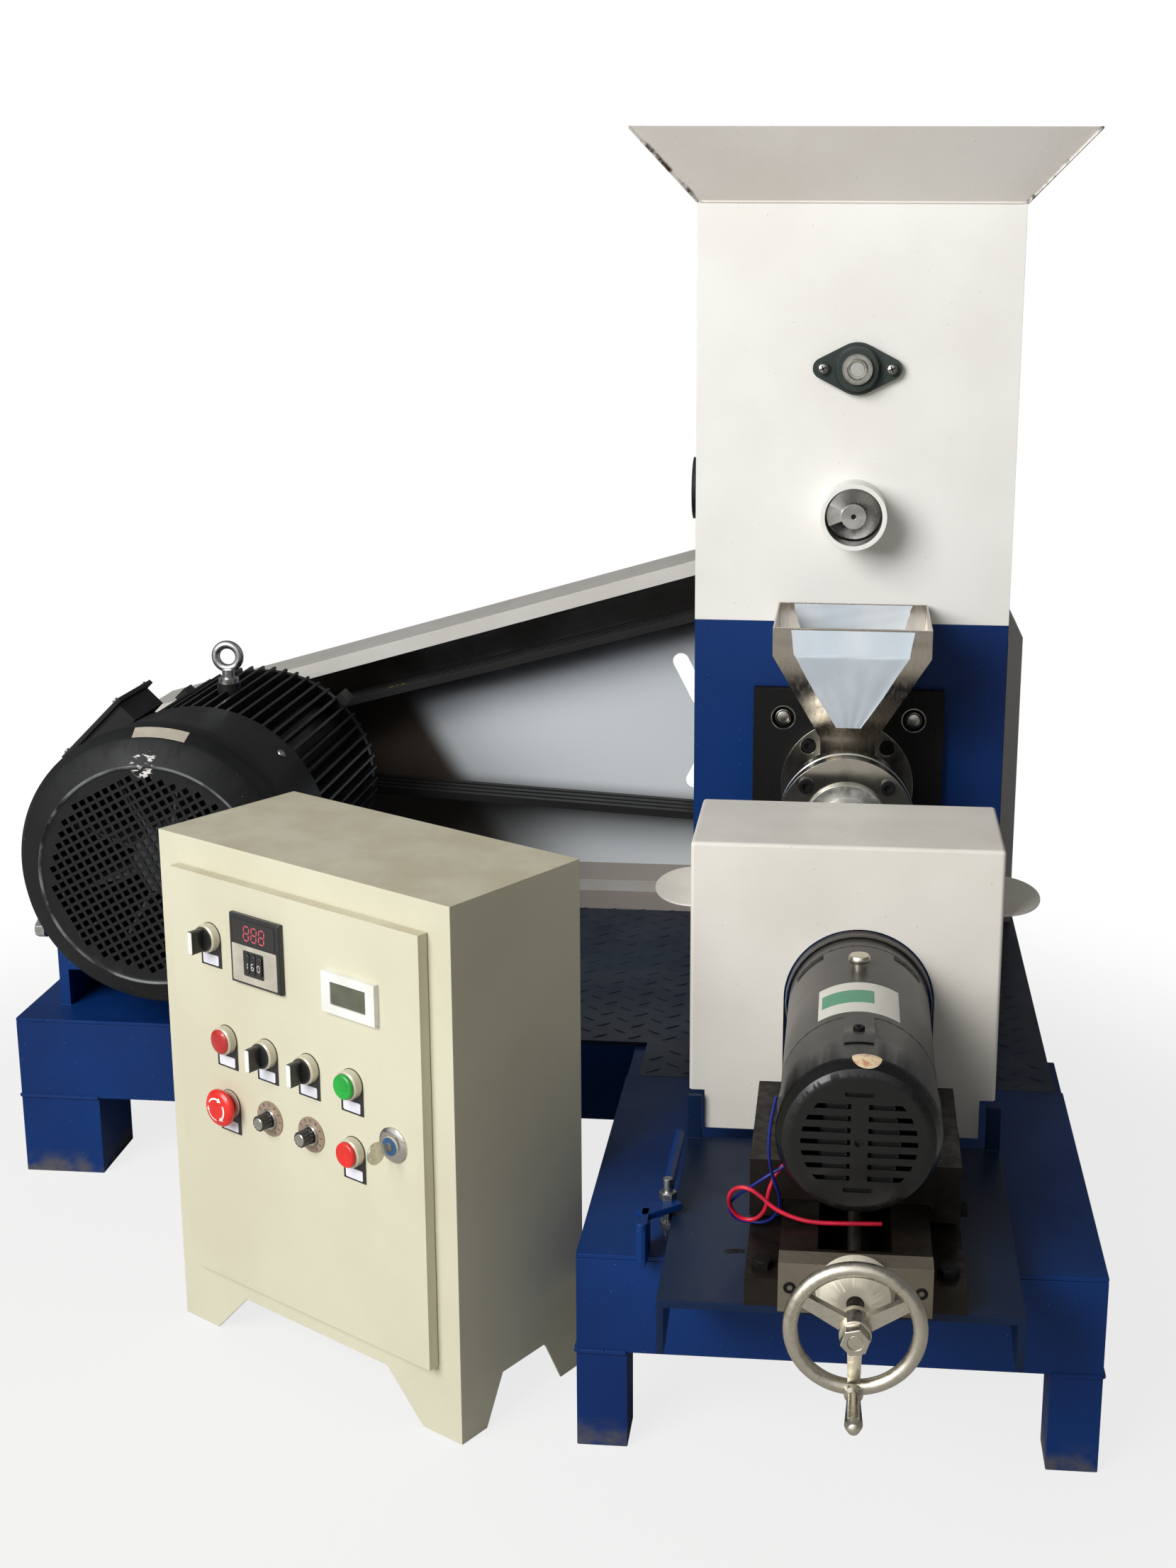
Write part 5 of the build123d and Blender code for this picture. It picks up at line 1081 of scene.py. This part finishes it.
# Door fittings: white label strips under clear windows, the controller's face with a
# three-figure display whose figures have a painted glow, and thumbwheels, the meter's screen,
# dial rings, lock rose and pointers.
COLUMNS = (107, 166.5, 226, 285.5)
RINGED = [(90, 453)] + [(u, 348) for u in COLUMNS] + [(COLUMNS[0], 278), (COLUMNS[3], 278)]
LABEL_WHITE = moulding("label strip", "E9E9F2", "D9DAE8", 0.3, 0.6)
strips = [placed(plaque(23, 10.5, 0.6), on_door(u, z - 23.5, 1)) for u, z in RINGED]
make_piece("legend_strips", joined(strips), LABEL_WHITE, "door")

FACE_GREY = moulding("controller face", "BDB7A9", "ABA698", 0.4, 0.2)
face = placed(plaque(64, 38.5, 0.4), on_door(161, 438.6, 6))
make_piece("controller_face", face, FACE_GREY, "door")
DARK_WINDOW = moulding("dark window", "0D0D0E", "131314", 0.12, 0.8)
windows = [placed(plaque(60, 23.5, 0.4), on_door(161, 472, 6)),
           placed(plaque(29, 26, 0.5), on_door(160, 440, 6.3))]
make_piece("controller_windows", joined(windows), DARK_WINDOW, "door")
# Painted glow: the display's segments give off a faint light of their own colour.
SEGMENT_RED_GLOW, tree, shader = new_finish("display segments glow", Roughness=0.3, Emission_Strength=0.2)
tinted(shader, noise(here(tree), 300), "B0485A", "C05868")
tree.links.new(shader.inputs["Base Color"].links[0].from_socket, shader.inputs["Emission Color"])
SEGMENTS = {"a": (0, 2, 0), "b": (1, 1, 90), "c": (1, -1, 90), "d": (0, -2, 0), "e": (-1, -1, 90),
            "f": (-1, 1, 90), "g": (0, 0, 0)}
FIGURES = {"0": "abcdef", "1": "bc", "6": "acdefg", "8": "abcdefg"}


def figure(sign, height, thick):
    """A seven-segment figure: bars with pointed ends, h / 2 long, set round two squares."""
    unit = height / 4
    outline = np.array([(-0.82, 0), (-0.6, 0.2), (0.6, 0.2), (0.82, 0), (0.6, -0.2), (-0.6, -0.2)])
    segments = []
    for segment in FIGURES[sign]:
        x, y, turn = SEGMENTS[segment]
        place = shifted(x * unit, y * unit, 0) @ turned(turn)
        segments.append(placed(prism(outline * unit, 0, thick), place))
    return joined(segments)


shown = [placed(figure("8", 14.5, 0.2), on_door(151 + 11 * i, 471, 6.45, -6)) for i in range(3)]
make_piece("display_figures", joined(shown), SEGMENT_RED_GLOW, "door")
thumbwheels, signs = [], []
for u, sign in ((151.2, "1"), (160, "6"), (168.8, "0")):
    thumbwheels.append(placed(plaque(7.8, 21, 1.6, 2.5), on_door(u, 440, 6.6)))
    signs.append(placed(figure(sign, 6.5, 0.2), on_door(u, 438.5, 8.25)))
make_piece("thumbwheels", joined(thumbwheels), BLACK_PLASTIC, "door", edge=0.4)
make_piece("thumbwheel_figures", joined(signs), WHITE_PLASTIC, "door")
OLIVE = moulding("meter screen", "5B5F4D", "4E5242", 0.16, 0.7)
screen = placed(plaque(46.6, 22.6, 0.5), on_door(289.5, 436.5, 4))
make_piece("meter_screen", screen, OLIVE, "door")

DIAL_BROWN = plain_metal("dial plate", "A3917F", 0.4, EVEN, 200, 0.3, "8C7A6A", 0.5)
CHROME = plain_metal("panel chrome", "C9C6C0", 0.12, EVEN, 160, 1.0, "8F8A82", 0.35)
dial = revolved([(10.4, 1.1), (10.4, 1.4), (18.1, 1.4), (18.3, 1), (18.3, 0)])
dial_ring = revolved([(8.4, 4.1), (10, 4.3), (10.8, 3.4), (10.8, 1.3)], 40)
dials, ticks, rings = [], [], []
for u in COLUMNS[1:3]:
    dials.append(placed(dial, on_door(u, 278)))
    rings.append(placed(dial_ring, on_door(u, 278)))
    for step in range(11):
        turn = on_door(u, 278, 1.4, 150 - 30 * step) @ shifted(0, 15, 0)
        ticks.append(placed(plaque(0.7, 3.4, 0.2, 0.1), turn))
rose = revolved([(9.2, 4.2), (10.2, 4.3), (14.7, 3.8), (17.7, 1.8), (17.7, 0)], 48)
rings.append(placed(rose, on_door(339, 300)))
make_piece("dial_plates", joined(dials), DIAL_BROWN, "door")
make_piece("dial_ticks", joined(ticks), BLACK_PLASTIC, "door")
make_piece("chrome_rings", joined(rings), CHROME, "door")
LOCK_BLUE = moulding("lock blue", "2D5C8C", "244C78", 0.3, 0.4)
lock_face = [(4.3, 6), (4.3, 6.3), (8.8, 6.3), (9.2, 5.8), (9.2, 4.2)]
lock_centre = placed(revolved(lock_face, 36), on_door(339, 300))
make_piece("lock_centre", lock_centre, LOCK_BLUE, "door")

for body, u, z in (("power_selector", 90, 453), ("feed_selector", COLUMNS[1], 348),
                   ("cutter_selector", COLUMNS[2], 348)):
    pointer = placed(plaque(5.6, 22.6, 0.6), on_door(u, z, 26))
    make_piece(body + "_pointer", pointer, WHITE_PLASTIC, body)
knob_cap = [(0, 0.4), (2, 0.5), (5.6, 0.8), (6.2, 0.4), (6.2, -0.4)]
for body, u in (("feed_speed_knob", COLUMNS[1]), ("cutter_speed_knob", COLUMNS[2])):
    cap = placed(revolved(knob_cap, 32), on_door(u, 278, 16))
    make_piece(body + "_cap", cap, CHROME, body)


def curved_arrow(first, last):
    """An arrow along a circle on the stop button's cone, z = 18.25 + 2 (16.5 - r) / 8.5 mm: its band has
    r from 10.6 to 12.4 mm, and its head is 5.2 mm wide."""
    a = np.radians(np.linspace(first, last, 24))
    share = np.linspace(0, 1, 24)
    half = np.where(share > 0.78, 2.6 * (1 - share) / 0.22, 0.9)
    r = np.stack([11.5 - half, 11.5 + half], axis=1)
    height = 18.25 + 2 * (16.5 - r) / 8.5
    return shape_of(np.stack([r * np.cos(a)[:, None], r * np.sin(a)[:, None], height], axis=-1) / 1000)


arrows = [placed(curved_arrow(first, first - 100), on_door(COLUMNS[0], 278)) for first in (150, 30, -90)]
make_piece("stop_arrows", joined(arrows), WHITE_PLASTIC, "emergency_stop")


# Studio: a pale floor, soft light from the upper left and front, and the camera where the
# photograph was taken from.
def stage_floor():
    """A wide square that the set stands on, white to the camera and grey to the light."""
    mesh = bpy.data.meshes.new("floor")
    mesh.from_pydata([(-12, -12, 0), (12, -12, 0), (12, 12, 0), (-12, 12, 0)], [], [[0, 1, 2, 3]])
    floor = bpy.data.objects.new("floor", mesh)
    floor.location.z = -0.0005
    bpy.context.scene.collection.objects.link(floor)
    material, tree, shader = new_finish("pale floor", Roughness=0.9)
    tinted(shader, noise(here(tree), 3), "B9B7B2", "C2C0BB")
    away = put(tree, "ShaderNodeVectorMath", {0: here(tree)}, operation="LENGTH").outputs["Value"]
    white = put(tree, "ShaderNodeEmission", {"Color": (1, 1, 1, 1), "Strength": 1.0})
    seen = put(tree, "ShaderNodeLightPath").outputs["Is Camera Ray"]
    share = times(seen, ranged(away, 0.8, 1.5, 0.8, 1.0))
    both = put(tree, "ShaderNodeMixShader", {0: share, 1: shader.outputs[0], 2: white.outputs[0]})
    tree.links.new(both.outputs[0], tree.nodes["Material Output"].inputs["Surface"])
    mesh.materials.append(material)


def studio_world():
    """Even light from all round, white where the camera and shiny metal see it."""
    world = bpy.data.worlds.new("studio")
    world.use_nodes = True
    bpy.context.scene.world = world
    tree = world.node_tree
    light = tree.nodes["Background"]
    light.inputs["Color"].default_value = (1, 1, 1, 1)
    path = put(tree, "ShaderNodeLightPath").outputs
    looked = put(tree, "ShaderNodeNewGeometry").outputs["Incoming"]
    facing_key = put(tree, "ShaderNodeVectorMath", {0: looked, 1: -TO_LIGHT}, operation="DOT_PRODUCT")
    hall = ranged(facing_key.outputs["Value"], 0.35, 0.95, HALL_LIGHT, 1.1)
    glossy = times(path["Is Glossy Ray"], figured("SUBTRACT", hall, HALL_LIGHT))
    strength = figured("MAXIMUM", path["Is Camera Ray"], figured("ADD", glossy, HALL_LIGHT))
    tree.links.new(strength, light.inputs["Strength"])


TO_LIGHT = Vector((-0.48, -0.74, 0.47)).normalized()
HALL_LIGHT = 0.17
stage_floor()
studio_world()
lamp = bpy.data.lights.new("key", "AREA")
lamp.shape = "SQUARE"
lamp.size = 2.4
lamp.energy = 190
key = bpy.data.objects.new("key", lamp)
key.location = Vector((0.05, 0.0, 0.5)) + TO_LIGHT * 4.2
key.rotation_euler = TO_LIGHT.to_track_quat("Z", "Y").to_euler()
bpy.context.scene.collection.objects.link(key)

CAMERA_PLACE = (0.37376, -2.05830, 1.10457)
CAMERA_YAW = 0.0804
CAMERA_PITCH = 0.2348
CAMERA_ROLL = 0.0070
camera_data = bpy.data.cameras.new("camera")
camera_data.sensor_fit = "VERTICAL"
camera_data.sensor_height = 36
camera_data.lens = 44.015
camera_data.shift_x = -0.06752
camera_data.shift_y = -0.03602
camera = bpy.data.objects.new("camera", camera_data)
turn = Matrix.Rotation(CAMERA_YAW, 4, "Z") @ Matrix.Rotation(pi / 2 - CAMERA_PITCH, 4, "X")
camera.matrix_world = Matrix.Translation(CAMERA_PLACE) @ turn @ Matrix.Rotation(CAMERA_ROLL, 4, "Z")
bpy.context.scene.collection.objects.link(camera)
bpy.context.scene.camera = camera
bpy.context.scene.view_settings.view_transform = "Standard"
